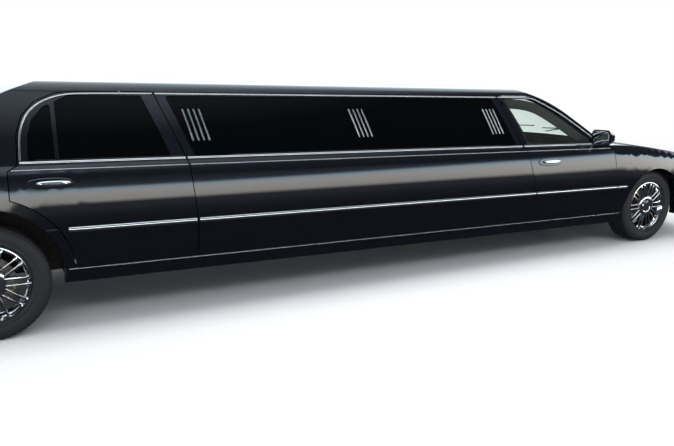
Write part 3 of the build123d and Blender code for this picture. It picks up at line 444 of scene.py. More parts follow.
def rounded(mesh, sharp_deg=35):
    """Smooth shading except across edges sharper than an angle."""
    shape = bmesh.new()
    shape.from_mesh(mesh)
    for face in shape.faces:
        face.smooth = True
    for edge in shape.edges:
        if len(edge.link_faces) == 2:
            edge.smooth = edge.calc_face_angle(0) < math.radians(sharp_deg)
    shape.to_mesh(mesh)
    shape.free()
    return mesh


def coat(mesh, material):
    """One finish on the whole of a mesh."""
    mesh.materials.clear()
    mesh.materials.append(material)
    for polygon in mesh.polygons:
        polygon.material_index = 0


def piece(name, mesh, material, body, stands_for=(), sharp_deg=35):
    """A finished piece that rides on a body, and may stand for CAD nodes."""
    mesh.name = name
    rounded(mesh, sharp_deg)
    coat(mesh, material)
    thing = bpy.data.objects.new(name, mesh)
    bpy.context.scene.collection.objects.link(thing)
    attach(thing, body)
    if stands_for:
        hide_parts(*stands_for)
    return thing


def joined(meshes):
    """Several meshes as one."""
    shape = bmesh.new()
    for mesh in meshes:
        shape.from_mesh(mesh)
    whole = bpy.data.meshes.new("joined")
    shape.to_mesh(whole)
    shape.free()
    return whole


def moved(mesh, matrix):
    """A mesh put in its place."""
    mesh.transform(matrix)
    return mesh


def lathe(profile, steps=72):
    """A section of (radius, y) points in millimetres, turned about the Y axis."""
    verts = [
        (r * math.cos(a) * MM, y * MM, r * math.sin(a) * MM)
        for a in (math.tau * i / steps for i in range(steps))
        for r, y in profile
    ]
    n = len(profile)
    faces = [
        (
            i * n + j,
            i * n + (j + 1) % n,
            (i + 1) % steps * n + (j + 1) % n,
            (i + 1) % steps * n + j,
        )
        for i in range(steps)
        for j in range(n)
    ]
    return build(verts, faces)


def skinned(loops):
    """A closed form through loops of as many points each, with flat ends."""
    n = len(loops[0])
    verts = [point for loop in loops for point in loop]
    faces = [
        (i * n + j, i * n + (j + 1) % n, (i + 1) * n + (j + 1) % n, (i + 1) * n + j)
        for i in range(len(loops) - 1)
        for j in range(n)
    ]
    faces += [tuple(range(n)), tuple((len(loops) - 1) * n + j for j in range(n))]
    return build(verts, faces)


def squircle(steps, power):
    """Points of a circle of radius 1, swelled towards a square as the power falls."""
    ways = [(math.cos(math.tau * i / steps), math.sin(math.tau * i / steps)) for i in range(steps)]
    return [
        (math.copysign(abs(c) ** power, c), math.copysign(abs(s) ** power, s)) for c, s in ways
    ]


# The painted shell: the CAD panels, welded and shaded as the smooth pressings that they are
def welded(node):
    """A copy of a CAD node's loose triangles, merged."""
    shape = bmesh.new()
    shape.from_mesh(nodes[node].data)
    bmesh.ops.remove_doubles(shape, verts=shape.verts, dist=0.01 * MM)
    mesh = bpy.data.meshes.new(node)
    shape.to_mesh(mesh)
    shape.free()
    return mesh


# Creases of a pressing sharper than this, in degrees, stay sharp
PANEL_CREASE = 28


def pressing(node, material, sharp_deg=PANEL_CREASE):
    """A smooth shaded piece that stands for one CAD node."""
    body = body_of_node[node]
    thing = piece(f"{node}_finish", welded(node), material, body, [node], sharp_deg)
    even = thing.modifiers.new("even normals", "WEIGHTED_NORMAL")
    even.mode = "FACE_AREA_WITH_ANGLE"
    even.keep_sharp = True


DOORS = [f"{end}_{side}_door" for end in ("front", "rear") for side in ("left", "right")]
body_of_node = {n: b for b, names in frame["record"]["behaviour"]["bodies"].items() for n in names}

PAINTED = [
    "roof", "nose_panel", "front_fenders", "stretch_side_panels", "rocker_panels",
    "quarter_panels", "hood", "trunk_lid", "front_bumper", "rear_bumper", *DOORS,
]  # fmt: skip
for node in PAINTED:
    pressing(node, paint)

GLAZED = {
    "windshield": cabin_glass,
    "rear_window": privacy_glass,
    "stretch_side_glass": privacy_glass,
    "front_left_door_glass": cabin_glass,
    "front_right_door_glass": cabin_glass,
    "rear_left_door_glass": privacy_glass,
    "rear_right_door_glass": privacy_glass,
}
for node, glass in GLAZED.items():
    # The clear door panes keep their true facets, so that what shows through them isn't bent
    facets = glass is cabin_glass and node != "windshield"
    pressing(node, glass, 0 if facets else PANEL_CREASE)

# CAD nodes whose shape is right: they take their finish, and the round ones smooth shading
FINISHES = {
    "floor_pan": underbody,
    "wheelhouses": underbody,
    "chassis_frame": chassis,
    "front_suspension": chassis,
    "rear_axle": chassis,
    "left_knuckle": cast,
    "right_knuckle": cast,
    "engine_block": cast,
    "gearbox_and_shaft": cast,
    "exhaust": stainless,
    "cowl_panel": black_plastic,
    "dashboard": black_plastic,
    "steering_wheel": leather,
    "divider": black_plastic,
    "bar_cabinet": veneer,
    "rear_shelf": carpet,
    "grille": chrome,
    "headlamps": clear_lens,
    "tail_lamps": red_lens,
}
for node, material in FINISHES.items():
    coat(nodes[node].data, material)
ROUND_NODES = [
    "exhaust", "rear_axle", "gearbox_and_shaft", "steering_wheel", "headlamps", "tail_lamps",
]  # fmt: skip
for node in ROUND_NODES:
    pressing(node, FINISHES[node], 30)


# The outer skin, to lay mouldings and handles on
def skin_of(names):
    """A ray target of several CAD nodes."""
    shape = bmesh.new()
    for name in names:
        shape.from_mesh(nodes[name].data)
    tree = BVHTree.FromBMesh(shape)
    shape.free()
    return tree


OUTER = [
    "roof", "front_fenders", "stretch_side_panels", "rocker_panels", "quarter_panels",
    "front_bumper", "rear_bumper", *DOORS, *GLAZED,
]  # fmt: skip
SKIN = skin_of(OUTER)
OWN_SKIN = {
    body: skin_of([node for node in OUTER if body_of_node[node] == body])
    for body in ["root", *DOORS]
}
# Rays from the side start at BESIDE, in metres; hits nearer than SAME_SKIN are on one skin
BESIDE = 1.3
SAME_SKIN = 0.4 * MM
# Lines are sampled each SAMPLE millimetres, and a run of samples on a skin is kept beyond a least
SAMPLE = 4.0
LEAST_PLACES = 7


def on_side(x, z, side, skin=SKIN):
    """Where the level body's x, z in millimetres lies on the skin of a side, and its normal."""
    px, pz = placed(x, z)
    hit, normal, _, _ = skin.ray_cast(Vector((px, side * BESIDE, pz)), Vector((0, -side, 0)))
    if hit is None:
        return None, None
    if normal.y * side < 0:
        normal = -normal
    return hit, normal


def divided(points, step):
    """Points along a polyline at most a step apart, its corners kept."""
    out = [points[0]]
    for a, b in zip(points, points[1:]):
        n = max(1, math.ceil(math.dist(a, b) / step))
        out += [(a[0] + (b[0] - a[0]) * i / n, a[1] + (b[1] - a[1]) * i / n) for i in range(1, n + 1)]
    return out


def softened(points, rounds=3):
    """A polyline with its corners cut, again and again, into a smooth sweep."""
    for _ in range(rounds):
        cut = [points[0]]
        for (ax, az), (bx, bz) in zip(points, points[1:]):
            cut.append((ax * 0.75 + bx * 0.25, az * 0.75 + bz * 0.25))
            cut.append((ax * 0.25 + bx * 0.75, az * 0.25 + bz * 0.75))
        points = [*cut, points[-1]]
    return points


def laid(points, side, body, step, shy):
    """Places on a body's own outer skin along a line, the first run of them, shy of its ends."""
    places = []
    for x, z in divided(points, SAMPLE):
        top, _ = on_side(x, z, side)
        hit, _ = on_side(x, z, side, OWN_SKIN[body])
        if hit is not None and (hit - top).length < SAME_SKIN:
            places.append(hit)
        elif len(places) > LEAST_PLACES:
            break
        else:
            places = []
    keep = max(1, round(shy / SAMPLE))
    places = places[keep:-keep]
    stride = max(1, round(step / SAMPLE))
    return [*places[:-1:stride], places[-1]]


def line_through(places):
    """A curve object through places."""
    curve = bpy.data.curves.new("line", "CURVE")
    curve.dimensions = "3D"
    curve.twist_mode = "Z_UP"
    spline = curve.splines.new("POLY")
    spline.points.add(len(places) - 1)
    for point, place in zip(spline.points, places):
        point.co = (*place, 1.0)
    return bpy.data.objects.new("line", curve)


def strip(name, places, width, proud, material, body):
    """A crowned strip through places."""
    mesh = grown(
        line_through(places), STRIP, Width=width * MM, Proud=proud * MM, Material=material
    )
    piece(name, mesh, material, body, sharp_deg=60)


def moulding(name, points, side, body, size, material, step=70, shy=4.0):
    """A crowned strip, of a width and standing proud, along a line on the body's side."""
    label = "left" if side > 0 else "right"
    places = laid(points, side, body, step, shy)
    strip(f"{name}_{label}", places, *size, material, body)


# Heights on the level body, in millimetres
BELT_Z, SWAGE_Z, MOULDING_Z, TAIL_Z, SILL_Z = 1021.0, 984.0, 621.0, 626.0, 365.0
WINDOW_Z, SEAL_Z = 1431.0, 1035
# Width, and how far each stands proud, in millimetres
BELT, SWAGE, MOULDING, TAIL, SILL = (21, 8), (6, 2.5), (33, 11), (9, 4), (7, 4)
WINDOW_TOP, WINDOW_EDGE, SEAL, BAR = (13, 5), (12, 5), (9, 4), (12, 6)

for side, label in SIDES:
    front_door, rear_door = f"front_{label}_door", f"rear_{label}_door"
    # A run that meets a shut line is drawn beyond it, and the shut line stops it
    runs = [
        ("belt_chrome_rear", rear_door, REAR_X + 218, REAR_X + 1700, BELT_Z, BELT),
        ("belt_chrome_stretch", "root", REAR_X + 1000, FRONT_X - 1400, BELT_Z, BELT),
        ("belt_chrome_front", front_door, FRONT_X - 1900, FRONT_X - 735, BELT_Z, BELT),
        ("swage_rear", rear_door, REAR_X + 130, REAR_X + 1700, SWAGE_Z, SWAGE),
        ("swage_stretch", "root", REAR_X + 1000, FRONT_X - 1400, SWAGE_Z, SWAGE),
        ("swage_front", front_door, FRONT_X - 1900, FRONT_X - 600, SWAGE_Z, SWAGE),
        ("body_moulding_rear", rear_door, REAR_X + 455, REAR_X + 1700, MOULDING_Z, MOULDING),
        ("body_moulding_stretch", "root", REAR_X + 1000, FRONT_X - 1200, MOULDING_Z, MOULDING),
        ("body_moulding_front", front_door, FRONT_X - 1800, FRONT_X - 400, MOULDING_Z, MOULDING),
        ("body_moulding_fender", "root", FRONT_X - 600, FRONT_X - 432, MOULDING_Z, MOULDING),
        ("sill_chrome", "root", REAR_X + 445, FRONT_X - 445, SILL_Z, SILL),
        ("window_chrome_stretch", "root", REAR_X + 1000, FRONT_X - 1700, WINDOW_Z, WINDOW_TOP),
    ]
    for name, body, x0, x1, z, size in runs:
        moulding(name, [(x0, z), (x1, z)], side, body, size, chrome)
    # The thin tails that the body mouldings end in beside the wheel arches
    for end, x0, x1 in (
        ("front", FRONT_X - 430, FRONT_X - 395),
        ("rear", REAR_X + 330, REAR_X + 436),
    ):
        line = [(x0, TAIL_Z), (x1, TAIL_Z)]
        moulding(f"moulding_tail_{end}", line, side, "root", TAIL, paint, step=20)
    # The bright edge of each door frame, swept down to the belt at its far end
    over_front = [
        (FRONT_X - 1990, WINDOW_Z),
        (FRONT_X - 1437, WINDOW_Z + 1),
        (FRONT_X - 1370, 1405),
        (FRONT_X - 1250, 1352),
        (FRONT_X - 1112, 1277),
        (FRONT_X - 976, 1187),
        (FRONT_X - 742, 1033),
    ]
    over_rear = [
        (REAR_X + 1700, WINDOW_Z),
        (REAR_X + 620, WINDOW_Z),
        (REAR_X + 468, 1417),
        (REAR_X + 345, 1367),
        (REAR_X + 268, 1288),
        (REAR_X + 234, 1186),
        (REAR_X + 226, 1036),
    ]
    for name, body, line in (
        ("window_chrome_front", front_door, over_front),
        ("window_chrome_rear", rear_door, over_rear),
    ):
        moulding(name, softened(line), side, body, WINDOW_EDGE, chrome, step=24)
    # Rubber wiper seals at the foot of the glass
    seals = (
        ("stretch", "root", REAR_X + 1520, FRONT_X - 1900),
        ("front", front_door, FRONT_X - 1700, FRONT_X - 840),
        ("rear", rear_door, REAR_X + 300, REAR_X + 1300),
    )
    for name, body, x0, x1 in seals:
        moulding(f"glass_seal_{name}", [(x0, SEAL_Z), (x1, SEAL_Z)], side, body, SEAL, seal)

# Slanted chrome bars on the stretch glass, in three sets of four: each set's first foot and head
BAR_SETS = (
    (REAR_X + 1277, REAR_X + 1229),
    (REAR_X + 2542, REAR_X + 2492),
    (FRONT_X - 1956, FRONT_X - 2008),
)
BAR_LOW_Z, BAR_TOP_Z, BAR_STEP = 1127.0, 1336.0, 37.0
for side, label in SIDES:
    for i, (foot, head) in enumerate(BAR_SETS):
        for k in range(4):
            line = [(foot + k * BAR_STEP, BAR_LOW_Z), (head + k * BAR_STEP, BAR_TOP_Z)]
            moulding(f"glass_bar_{i}_{k}", line, side, "root", BAR, chrome, 24, 0)


# Door handles: an oval cup with a plated pull across it
def oval(x, z, side, long_mm, high_mm, out_mm):
    """Points of an oval round a place on the side, standing out from it."""
    hit, normal = on_side(x, z, side)
    along = Vector((math.cos(RAKE), 0, -math.sin(RAKE)))
    up = normal.cross(along) * side
    up = up if up.z > 0 else -up
    half_long, half_high, out = long_mm / 2 * MM, high_mm / 2 * MM, normal * out_mm * MM
    return [hit + along * u * half_long + up * v * half_high + out for u, v in squircle(36, 2 / 2.6)]


# Length, height and how far out, in millimetres, of the loops of each part of a handle
HANDLE_CUP = [(252, 62, -4), (252, 62, 3), (240, 52, 4), (228, 42, 1)]
HANDLE_PULL = [(190, 22, 0), (196, 27, 8), (190, 25, 17), (176, 14, 21)]
HANDLE_RIM = [(256, 66, -3), (256, 66, 2), (248, 58, 5)]
HANDLE_PARTS = (
    ("cup", HANDLE_CUP, 0, black_plastic),
    ("pull", HANDLE_PULL, 20, chrome),
    ("rim", HANDLE_RIM, 0, paint),
)
for side, label in SIDES:
    for end, x, z in (("front", FRONT_X - 1418, 889), ("rear", REAR_X + 376, 905)):
        for part, stations, ahead, material in HANDLE_PARTS:
            form = skinned([oval(x + ahead, z, side, *station) for station in stations])
            piece(f"{end}_handle_{part}_{label}", form, material, f"{end}_{label}_door")


# Wheels, modelled about an axle along Y with their outer face to -Y
RIM_PROFILE = [
    (237.5, 94), (229, 90), (222, 60), (209, -20), (207, -50), (212, -70), (222, -78),
    (226, -86), (229, -94), (232, -98.5), (236.5, -97.5), (237.5, -91),
]  # fmt: skip
HUB_PROFILE = [
    (0, -97), (30, -96.6), (45, -94.5), (49, -90.5), (52, -89), (56, -92.5), (64, -93.5),
    (90, -92), (99, -87), (102, -78), (99, -66), (80, -58), (56, -46), (56, 28), (0, 28),
]  # fmt: skip
DISC_PROFILE = [(58, -21), (155, -21), (155, -11), (148, -9), (155, -7), (155, 3), (58, 3)]
# Radius, offset from the middle of the pair, half width, face and depth along a spoke
SPOKE_STATIONS = [
    (86, 20.5, 9.0, -90, 26), (112, 20.5, 7.6, -91, 26), (160, 20.5, 7.2, -92, 25),
    (200, 20.5, 7.6, -92, 24), (214, 21, 9.5, -90, 22), (226, 21.5, 12.5, -86, 18),
]  # fmt: skip
SPOKE_PAIRS = 10
CARCASS = [
    (238.3, -93), (243, -101), (252, -107), (258, -110.6), (263, -109.4), (267, -108.6),
    (278, -111.8), (298, -112), (314, -110.5), (328, -107), (338, -101), (344, -93),
    (346, -80), (346, 80), (344, 93), (338, 101),
    (328, 107), (314, 110.5), (298, 112), (276, 111.6), (255, 108), (243, 101), (238.3, 93),
]  # fmt: skip
TREAD_PITCHES = 66
TREAD_FOOT_R, TREAD_TOP_R = 343.0, 351.6
# Corners of blocks beyond SHOULDER_Y from the tyre's middle drop, to round its shoulders
SHOULDER_Y, SHOULDER_DROP = 84, 4.0
# Half length of a block, in pitches, and how much narrower it is at its top
BLOCK_HALF, TOP_TAPER = 0.4, 0.92
# Middle, half width and shift along the tyre, in pitches, of each row of blocks
TREAD_ROWS = [
    (-79, 17, 0.0), (-47, 21, 0.5), (-15, 17, 0.15), (15, 17, 0.35), (47, 21, 0.0), (79, 17, 0.5),
]  # fmt: skip


def spoke_pair():
    """Two slim spokes that part a little towards the rim, crowned on their faces."""
    both = []
    for hand in (1, -1):
        loops = []
        for r, across, half_w, face, deep in SPOKE_STATIONS:
            mid = hand * across
            section = [
                (mid - half_w, face + deep), (mid - half_w, face + 5), (mid - half_w * 0.6, face + 1),
                (mid, face), (mid + half_w * 0.6, face + 1), (mid + half_w, face + 5),
                (mid + half_w, face + deep),
            ]  # fmt: skip
            loops.append([(r * MM, y * MM, t * MM) for t, y in section])
        both.append(skinned(loops))
    return joined(both)


def tread_pitch():
    """One pitch of tread: a block in each row, tapered towards its top."""
    pitch = math.tau / TREAD_PITCHES
    blocks = []
    for y, half_w, shift in TREAD_ROWS:
        loops = []
        for r, taper in ((TREAD_FOOT_R, 1.0), (TREAD_TOP_R, TOP_TAPER)):
            loop = []
            for dy, da in ((-1, -1), (1, -1), (1, 1), (-1, 1)):
                a = (shift + da * BLOCK_HALF * taper) * pitch
                yy = y + dy * half_w * taper
                rr = r - (SHOULDER_DROP if abs(yy) > SHOULDER_Y else 0.0)
                loop.append((rr * math.cos(a) * MM, yy * MM, rr * math.sin(a) * MM))
            loops.append(loop)
        blocks.append(skinned(loops))
    return joined(blocks)


def wheel(end, label):
    """One wheel's chrome, brake disc and tyre, in their place."""
    body = body_of_node[f"{end}_{label}_rim"]
    hub = centre(f"{end}_{label}_tyre")
    place = Matrix.Translation(hub)
    if label == "left":
        place = place @ Matrix.Rotation(math.pi, 4, "Z")
    spokes = grown(
        bpy.data.objects.new("spokes", spoke_pair()), RING, Count=SPOKE_PAIRS, Material=chrome
    )
    plated = joined([lathe(RIM_PROFILE), lathe(HUB_PROFILE, 48), spokes])
    piece(f"{end}_{label}_wheel_chrome", moved(plated, place), chrome, body, [f"{end}_{label}_rim"])
    disc = lathe(DISC_PROFILE, 64)
    piece(f"{end}_{label}_brake_disc", moved(disc, place), disc_iron, body)
    blocks = grown(
        bpy.data.objects.new("blocks", tread_pitch()), RING, Count=TREAD_PITCHES, Material=rubber
    )
    casing = joined([lathe(CARCASS, 96), blocks])
    piece(
        f"{end}_{label}_tyre_rubber", moved(casing, place), rubber, body, [f"{end}_{label}_tyre"]
    )


for end in ("front", "rear"):
    for label in ("left", "right"):
        wheel(end, label)


# Door mirrors: the CAD shell smoothed, and a silvered glass
# Each loop of the glass: how far ahead of the shell's back, half width and half height
MIRROR_GLASS = [(0.5, 88, 58), (-1.0, 88, 58), (-2.0, 88 * 0.97, 58 * 0.97)]
# The glass's middle: how far in from the shell's outer end, and its share of the shell's height
GLASS_IN, GLASS_RISE = 105 * MM, 0.51
for side, label in SIDES:
    body = body_of_node[f"{label}_mirror"]
    piece(f"{label}_mirror_shell", welded(f"{label}_mirror"), paint, body, [f"{label}_mirror"], 50)
    low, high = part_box(f"{label}_mirror")
    outer = high.y if side > 0 else low.y
    mid_y = outer - side * GLASS_IN
    mid_z = low.z + (high.z - low.z) * GLASS_RISE
    loops = [
        [
            (low.x + out * MM, mid_y + u * half_w * MM, mid_z + v * half_h * MM)
            for u, v in squircle(32, 0.55)
        ]
        for out, half_w, half_h in MIRROR_GLASS
    ]
    piece(f"{label}_mirror_glass", skinned(loops), mirror_glass, body)


# Seats: the CAD cushions softened, with sewn channels, in leather
CHANNEL_DEPTH = 9 * MM
# The lower this power, the narrower the channels and the fuller the pads between them
CHANNEL_POWER = 0.35


def upholster(node, across, pitch_mm, voxel_mm=16.0):
    """A padded piece from a CAD seat: softened, and channelled across an axis."""
    source = bpy.data.objects.new(node, welded(node))
    remesh = source.modifiers.new("voxels", "REMESH")
    remesh.mode = "VOXEL"
    remesh.voxel_size = voxel_mm * MM
    soft = source.modifiers.new("soft", "SMOOTH")
    soft.factor = 0.5
    soft.iterations = 6
    mesh = made(source)
    normals = [v.normal.copy() for v in mesh.vertices]
    for vertex, normal in zip(mesh.vertices, normals):
        facing = abs(normal[across])
        groove = abs(math.sin(math.pi * vertex.co[across] / (pitch_mm * MM))) ** CHANNEL_POWER
        vertex.co += normal * (1 - facing) * (groove - 1.0) * CHANNEL_DEPTH
    thing = piece(f"{node}_upholstery", mesh, leather, body_of_node[node], [node], 180)


upholster("front_seats", 1, 92.0)
upholster("rear_bench", 1, 115.0)
upholster("side_bench", 0, 150.0, 18.0)

# The head restraints on the tops of the front seat backs, as (rise, half depth, half width)
RESTRAINT = [(-25, 28, 80), (0, 40, 112), (55, 50, 130), (110, 48, 128), (145, 34, 108), (152, 14, 84)]
NEAR_TOP = 60 * MM
seat_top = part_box("front_seats")[1].z
for side, label in SIDES:
    tops = [
        v.co
        for v in nodes["front_seats"].data.vertices
        if v.co.z > seat_top - NEAR_TOP and v.co.y * side > 0
    ]
    mid = sum(tops, Vector()) / len(tops)
    loops = [
        [
            (mid.x + u * half_x * MM, mid.y + v * half_y * MM, seat_top + rise * MM)
            for u, v in squircle(28, 0.7)
        ]
        for rise, half_x, half_y in RESTRAINT
    ]
    piece(f"head_restraint_{label}", skinned(loops), leather, "root", sharp_deg=60)

# The dark inner frame of each front door, seen through its glass: its width and how proud, and
# how far it lies behind the door's skin
INNER_FRAME, INNER_FRAME_DEPTH = (84, 5), 24 * MM
for side, label in SIDES:
    body = f"front_{label}_door"
    edge = [
        (FRONT_X - 1622, 1045),
        (FRONT_X - 1740, 1320),
        (FRONT_X - 1776, 1396),
        (FRONT_X - 1700, 1394),
        (FRONT_X - 1450, 1374),
        (FRONT_X - 1290, 1305),
        (FRONT_X - 1120, 1197),
        (FRONT_X - 985, 1110),
        (FRONT_X - 880, 1040),
    ]
    met = (on_side(x, z, side, OWN_SKIN[body]) for x, z in divided(softened(edge), 30.0))
    sunk = [hit - normal * INNER_FRAME_DEPTH for hit, normal in met if hit is not None]
    strip(f"front_door_inner_frame_{label}", sunk, *INNER_FRAME, seal, body)


# What shows from the front and back: lamp bowls, wipers and the bright strip of the trunk lid
# Rays along the car start at BEYOND_ENDS, in metres
BEYOND_ENDS = 6.0


def met_along(skin, y, z, way):
    """Where a skin is met along the car, from the front (1) or from behind (-1)."""
    hit, _, _, _ = skin.ray_cast(Vector((way * BEYOND_ENDS, y, z)), Vector((-way, 0, 0)))
    return hit


LAMP_BOWL = [
    (66, -8), (61, 4), (48, 20), (30, 34), (10, 40), (8, 43), (32, 38), (51, 23), (65, 5),
    (72, -6), (70, -9),
]  # fmt: skip
LAMP_BULB = [(0, 4), (5, 6), (8, 12), (8, 40), (0, 40)]
LAMP_PLACES = (0.50, 0.68)
BOWL_SET_BACK = 34 * MM
facing_front = Matrix.Rotation(math.pi / 2, 4, "Z")
low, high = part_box("headlamps")
lamp_z = (low.z + high.z) / 2
lamp_skin = skin_of(["headlamps"])
bowls = []
for side, _ in SIDES:
    for across in LAMP_PLACES:
        place = met_along(lamp_skin, side * across, lamp_z, 1)
        put = Matrix.Translation(place - Vector((BOWL_SET_BACK, 0, 0))) @ facing_front
        bowls += [moved(lathe(LAMP_BOWL, 40), put), moved(lathe(LAMP_BULB, 20), put)]
piece("headlamp_bowls", joined(bowls), chrome, "root")


def end_strip(name, node, points, way, size, material):
    """A strip laid across a node, through its y, z points as met from the front or behind."""
    skin = skin_of([node])
    places = [met_along(skin, y, z, way) for y, z in divided(points, 40 * MM)]
    met = [place for place in places if place is not None]
    strip(name, met, *size, material, body_of_node[node])


# The wipers park near the foot of the windshield, each as y of its foot and tip; the heights of
# blade and arm are at their two ends; each arm ends at a share of the way along its blade
WIPERS = (("right", -0.04, -0.62), ("left", 0.64, 0.06))
BLADE_Z, ARM_Z, ARM_SHARE = (1.09, 1.11), (1.055, 1.104), 0.55
BLADE, ARM = (12, 12), (9, 20)
for label, foot, tip in WIPERS:
    middle = foot * (1 - ARM_SHARE) + tip * ARM_SHARE
    blade = [(foot, BLADE_Z[0]), (tip, BLADE_Z[1])]
    arm = [(foot, ARM_Z[0]), (middle, ARM_Z[1])]
    end_strip(f"wiper_blade_{label}", "windshield", blade, 1, BLADE, seal)
    end_strip(f"wiper_arm_{label}", "windshield", arm, 1, ARM, black_plastic)
TRUNK_STRIP, TRUNK_LINE = (18, 7), [(-0.4, 0.84), (0.4, 0.84)]
end_strip("trunk_strip", "trunk_lid", TRUNK_LINE, -1, TRUNK_STRIP, chrome)


# Blank number plates in plain holders, front and rear
# Each part's half width, half height, depth behind its face and how far out its face is
PLATE_PARTS = (
    ("holder", 166, 84, 14, 0.0, black_plastic),
    ("plate", 152, 76, 6, 0.6, plate_white),
)
# The plates' middle as a share of the bumper's height, and how deep they sit in its box
PLATE_RISE, PLATE_IN = 0.52, 1 * MM
for name, way in (("front", 1), ("rear", -1)):
    low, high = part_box(f"{name}_bumper")
    mid_z = low.z + (high.z - low.z) * PLATE_RISE
    face = (high.x if way > 0 else low.x) - way * PLATE_IN
    for label, half_w, half_h, back, out, material in PLATE_PARTS:
        loops = [
            [
                (
                    face + way * step_out * MM,
                    across * half_w * shrink * MM,
                    mid_z + up * half_h * shrink * MM,
                )
                for across, up in ((-1, -1), (1, -1), (1, 1), (-1, 1))
            ]
            for step_out, shrink in ((-back, 1.0), (out - 1.5, 1.0), (out, 0.985))
        ]
        piece(f"{name}_number_{label}", skinned(loops), material, "root")


# Floor, backdrop and light, which aren't part of the object
# Metres from the middle of the floor: its edge, where it turns pale, and where its mirrored tone
# turns, to each side of the car
FLOOR_EDGE = 60
PALE_FROM, PALE_TO = 5.5, 16.0
TONE_FROM, TONE_TO = 3.0, 14.0


def studio_floor():
    """Pale concrete that keeps the shadow; lacquer and chrome see it dark by the car, pale far off."""
    material, tree, shader = finish(
        "pale_painted_concrete", {"Roughness": 0.85, "Specular IOR Level": 0.1}
    )
    noise = grain(tree, shader, 40, 0.1)
    shades(tree, shader, noise.outputs["Fac"], ("#F0F0F0", "#F3F3F3"))
    path = add(tree, "ShaderNodeLightPath")
    place = add(tree, "ShaderNodeTexCoord")
    reach = add(tree, "ShaderNodeVectorMath", {0: place.outputs["Object"]}, operation="LENGTH")
    far = add(
        tree,
        "ShaderNodeMapRange",
        {"Value": reach.outputs["Value"], "From Min": PALE_FROM, "From Max": PALE_TO},
        interpolation_type="SMOOTHSTEP",
    )
    to_view = add(
        tree,
        "ShaderNodeMath",
        {0: path.outputs["Is Camera Ray"], 1: path.outputs["Is Transmission Ray"]},
        operation="MAXIMUM",
    )
    seen = add(
        tree,
        "ShaderNodeMath",
        {0: far.outputs["Result"], 1: to_view.outputs[0]},
        operation="MULTIPLY",
    )
    white = add(tree, "ShaderNodeEmission", {"Color": linear("#FFFFFF"), "Strength": 1.0})
    to_eye = add(
        tree,
        "ShaderNodeMixShader",
        {0: seen.outputs[0], 1: shader.outputs[0], 2: white.outputs[0]},
    )
    across = add(tree, "ShaderNodeSeparateXYZ", {"Vector": place.outputs["Object"]})
    off = add(tree, "ShaderNodeMath", {0: across.outputs["Y"]}, operation="ABSOLUTE")
    band = add(
        tree,
        "ShaderNodeMapRange",
        {"Value": off.outputs[0], "From Min": TONE_FROM, "From Max": TONE_TO},
    )
    tone = add(tree, "ShaderNodeValToRGB", {"Fac": band.outputs["Result"]})
    tone.color_ramp.elements[0].color = linear("#2B2E33")
    tone.color_ramp.elements[1].color = linear("#666A6F")
    mirrored = add(tree, "ShaderNodeEmission", {"Color": tone.outputs["Color"], "Strength": 1.0})
    bounced = add(
        tree,
        "ShaderNodeMath",
        {0: path.outputs["Is Glossy Ray"], 1: path.outputs["Is Transmission Ray"]},
        operation="SUBTRACT",
        use_clamp=True,
    )
    whole = add(
        tree,
        "ShaderNodeMixShader",
        {0: bounced.outputs[0], 1: to_eye.outputs[0], 2: mirrored.outputs[0]},
    )
    tree.links.new(whole.outputs[0], tree.nodes["Material Output"].inputs["Surface"])
    corners = [(x * FLOOR_EDGE, y * FLOOR_EDGE, 0) for x, y in ((-1, -1), (1, -1), (1, 1), (-1, 1))]
    mesh = build(corners, [(0, 1, 2, 3)])
    mesh.materials.append(material)
    floor = bpy.data.objects.new("floor", mesh)
    bpy.context.scene.collection.objects.link(floor)


# What lacquer and chrome mirror, by the height of a direction from straight down to straight up:
# a low bright strip with dark above it on the right of the car, a pale dome on its left
RIGHT_BANDS = (
    (0.0, "#131518"),
    (0.505, "#212327"),
    (0.523, "#CFCCC6"),
    (0.57, "#DDDCD8"),
    (0.588, "#C6DDEE"),
    (0.604, "#2E363C"),
    (0.68, "#15181D"),
    (0.86, "#22262B"),
    (0.97, "#737A82"),
    (1.0, "#949BA2"),
)
LEFT_BANDS = (
    (0.0, "#131518"),
    (0.50, "#282C2F"),
    (0.53, "#8B9196"),
    (0.75, "#A3ABB2"),
    (1.0, "#949BA2"),
)
BAND_STRENGTH = 4.6
LIGHT_STRENGTH = 0.75
# A direction's sideways part, between which the right side's bands turn into the left's
RIGHT_TO_LEFT = (-0.1, 0.15)


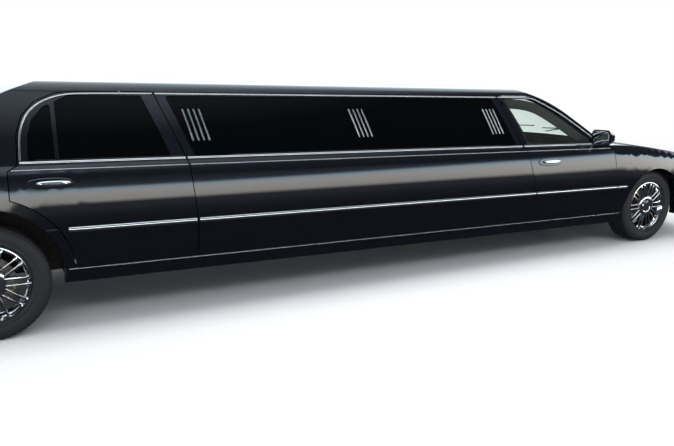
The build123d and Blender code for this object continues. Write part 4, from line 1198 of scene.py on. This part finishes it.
def studio_world():
    """Even soft light; the eye and glass see plain white, lacquer and chrome see the bands."""
    world = bpy.data.worlds.new("studio")
    bpy.context.scene.world = world
    world.use_nodes = True
    tree = world.node_tree
    tree.nodes.clear()
    path = add(tree, "ShaderNodeLightPath")
    way = add(tree, "ShaderNodeTexCoord")
    parts = add(tree, "ShaderNodeSeparateXYZ", {"Vector": way.outputs["Generated"]})
    height = add(tree, "ShaderNodeMapRange", {"Value": parts.outputs["Z"], "From Min": -1.0})
    sides = []
    for bands in (RIGHT_BANDS, LEFT_BANDS):
        tones = add(tree, "ShaderNodeValToRGB", {"Fac": height.outputs["Result"]})
        for place, _ in bands[1:-1]:
            tones.color_ramp.elements.new(place)
        for element, (place, colour) in zip(tones.color_ramp.elements, bands):
            element.position = place
            element.color = linear(colour)
        sides.append(tones.outputs["Color"])
    across = add(
        tree,
        "ShaderNodeMapRange",
        {
            "Value": parts.outputs["Y"],
            "From Min": RIGHT_TO_LEFT[0],
            "From Max": RIGHT_TO_LEFT[1],
        },
    )
    both = add(
        tree,
        "ShaderNodeMix",
        {0: across.outputs["Result"], 6: sides[0], 7: sides[1]},
        data_type="RGBA",
    )
    light = add(
        tree, "ShaderNodeBackground", {"Color": linear("#EEF2F7"), "Strength": LIGHT_STRENGTH}
    )
    mirrored = add(tree, "ShaderNodeBackground", {"Color": both.outputs[2], "Strength": BAND_STRENGTH})
    backdrop = add(tree, "ShaderNodeBackground", {"Color": linear("#FFFFFF"), "Strength": 1.0})
    seen = add(
        tree,
        "ShaderNodeMath",
        {0: path.outputs["Is Camera Ray"], 1: path.outputs["Is Transmission Ray"]},
        operation="MAXIMUM",
    )
    unseen = add(
        tree,
        "ShaderNodeMixShader",
        {0: path.outputs["Is Glossy Ray"], 1: light.outputs[0], 2: mirrored.outputs[0]},
    )
    mixed = add(
        tree,
        "ShaderNodeMixShader",
        {0: seen.outputs[0], 1: unseen.outputs[0], 2: backdrop.outputs[0]},
    )
    add(tree, "ShaderNodeOutputWorld", {"Surface": mixed.outputs[0]})


def soft_lamp(name, place, aim, size, watts, tint="#FFFFFF"):
    """A large soft rectangular lamp that points at a place."""
    lamp = bpy.data.lights.new(name, "AREA")
    lamp.shape = "RECTANGLE"
    lamp.size, lamp.size_y = size
    lamp.energy = watts
    lamp.color = linear(tint)[:3]
    thing = bpy.data.objects.new(name, lamp)
    thing.location = place
    thing.rotation_euler = (Vector(aim) - Vector(place)).to_track_quat("-Z", "Y").to_euler()
    thing.visible_glossy = False
    bpy.context.scene.collection.objects.link(thing)


studio_floor()
studio_world()
soft_lamp("overhead", (0.0, -0.5, 7.5), (0.0, 0.0, 0.8), (11.0, 4.0), 420)
soft_lamp("right_side", (-1.0, -9.0, 6.2), (0.2, 0.0, 0.8), (13.0, 2.0), 300, "#F2F7FF")
soft_lamp("front_left", (9.0, 6.0, 4.0), (2.0, 0.0, 0.7), (4.0, 3.0), 160)

# The camera, as the photograph was taken: fitted to the wheels, door cuts and mouldings
PHOTO_W = 674
FOCAL_PX = 650.4
SENSOR_MM = 36.0
CAMERA_AT = Vector((PIVOT_X * MM - 2.7427, -5.1456, 1.5087))
YAW, PITCH, ROLL = math.radians(27.2), math.radians(11.877), math.radians(0.117)
camera_data = bpy.data.cameras.new("camera")
camera_data.sensor_width = SENSOR_MM
camera_data.lens = SENSOR_MM * FOCAL_PX / PHOTO_W
camera = bpy.data.objects.new("camera", camera_data)
camera.location = CAMERA_AT
camera.rotation_mode = "QUATERNION"
look = Matrix.Rotation(-YAW, 4, "Z") @ Matrix.Rotation(math.pi / 2 - PITCH, 4, "X")
camera.rotation_quaternion = (look @ Matrix.Rotation(ROLL, 4, "Z")).to_quaternion()
bpy.context.scene.collection.objects.link(camera)
bpy.context.scene.camera = camera
bpy.context.scene.view_settings.view_transform = "Standard"
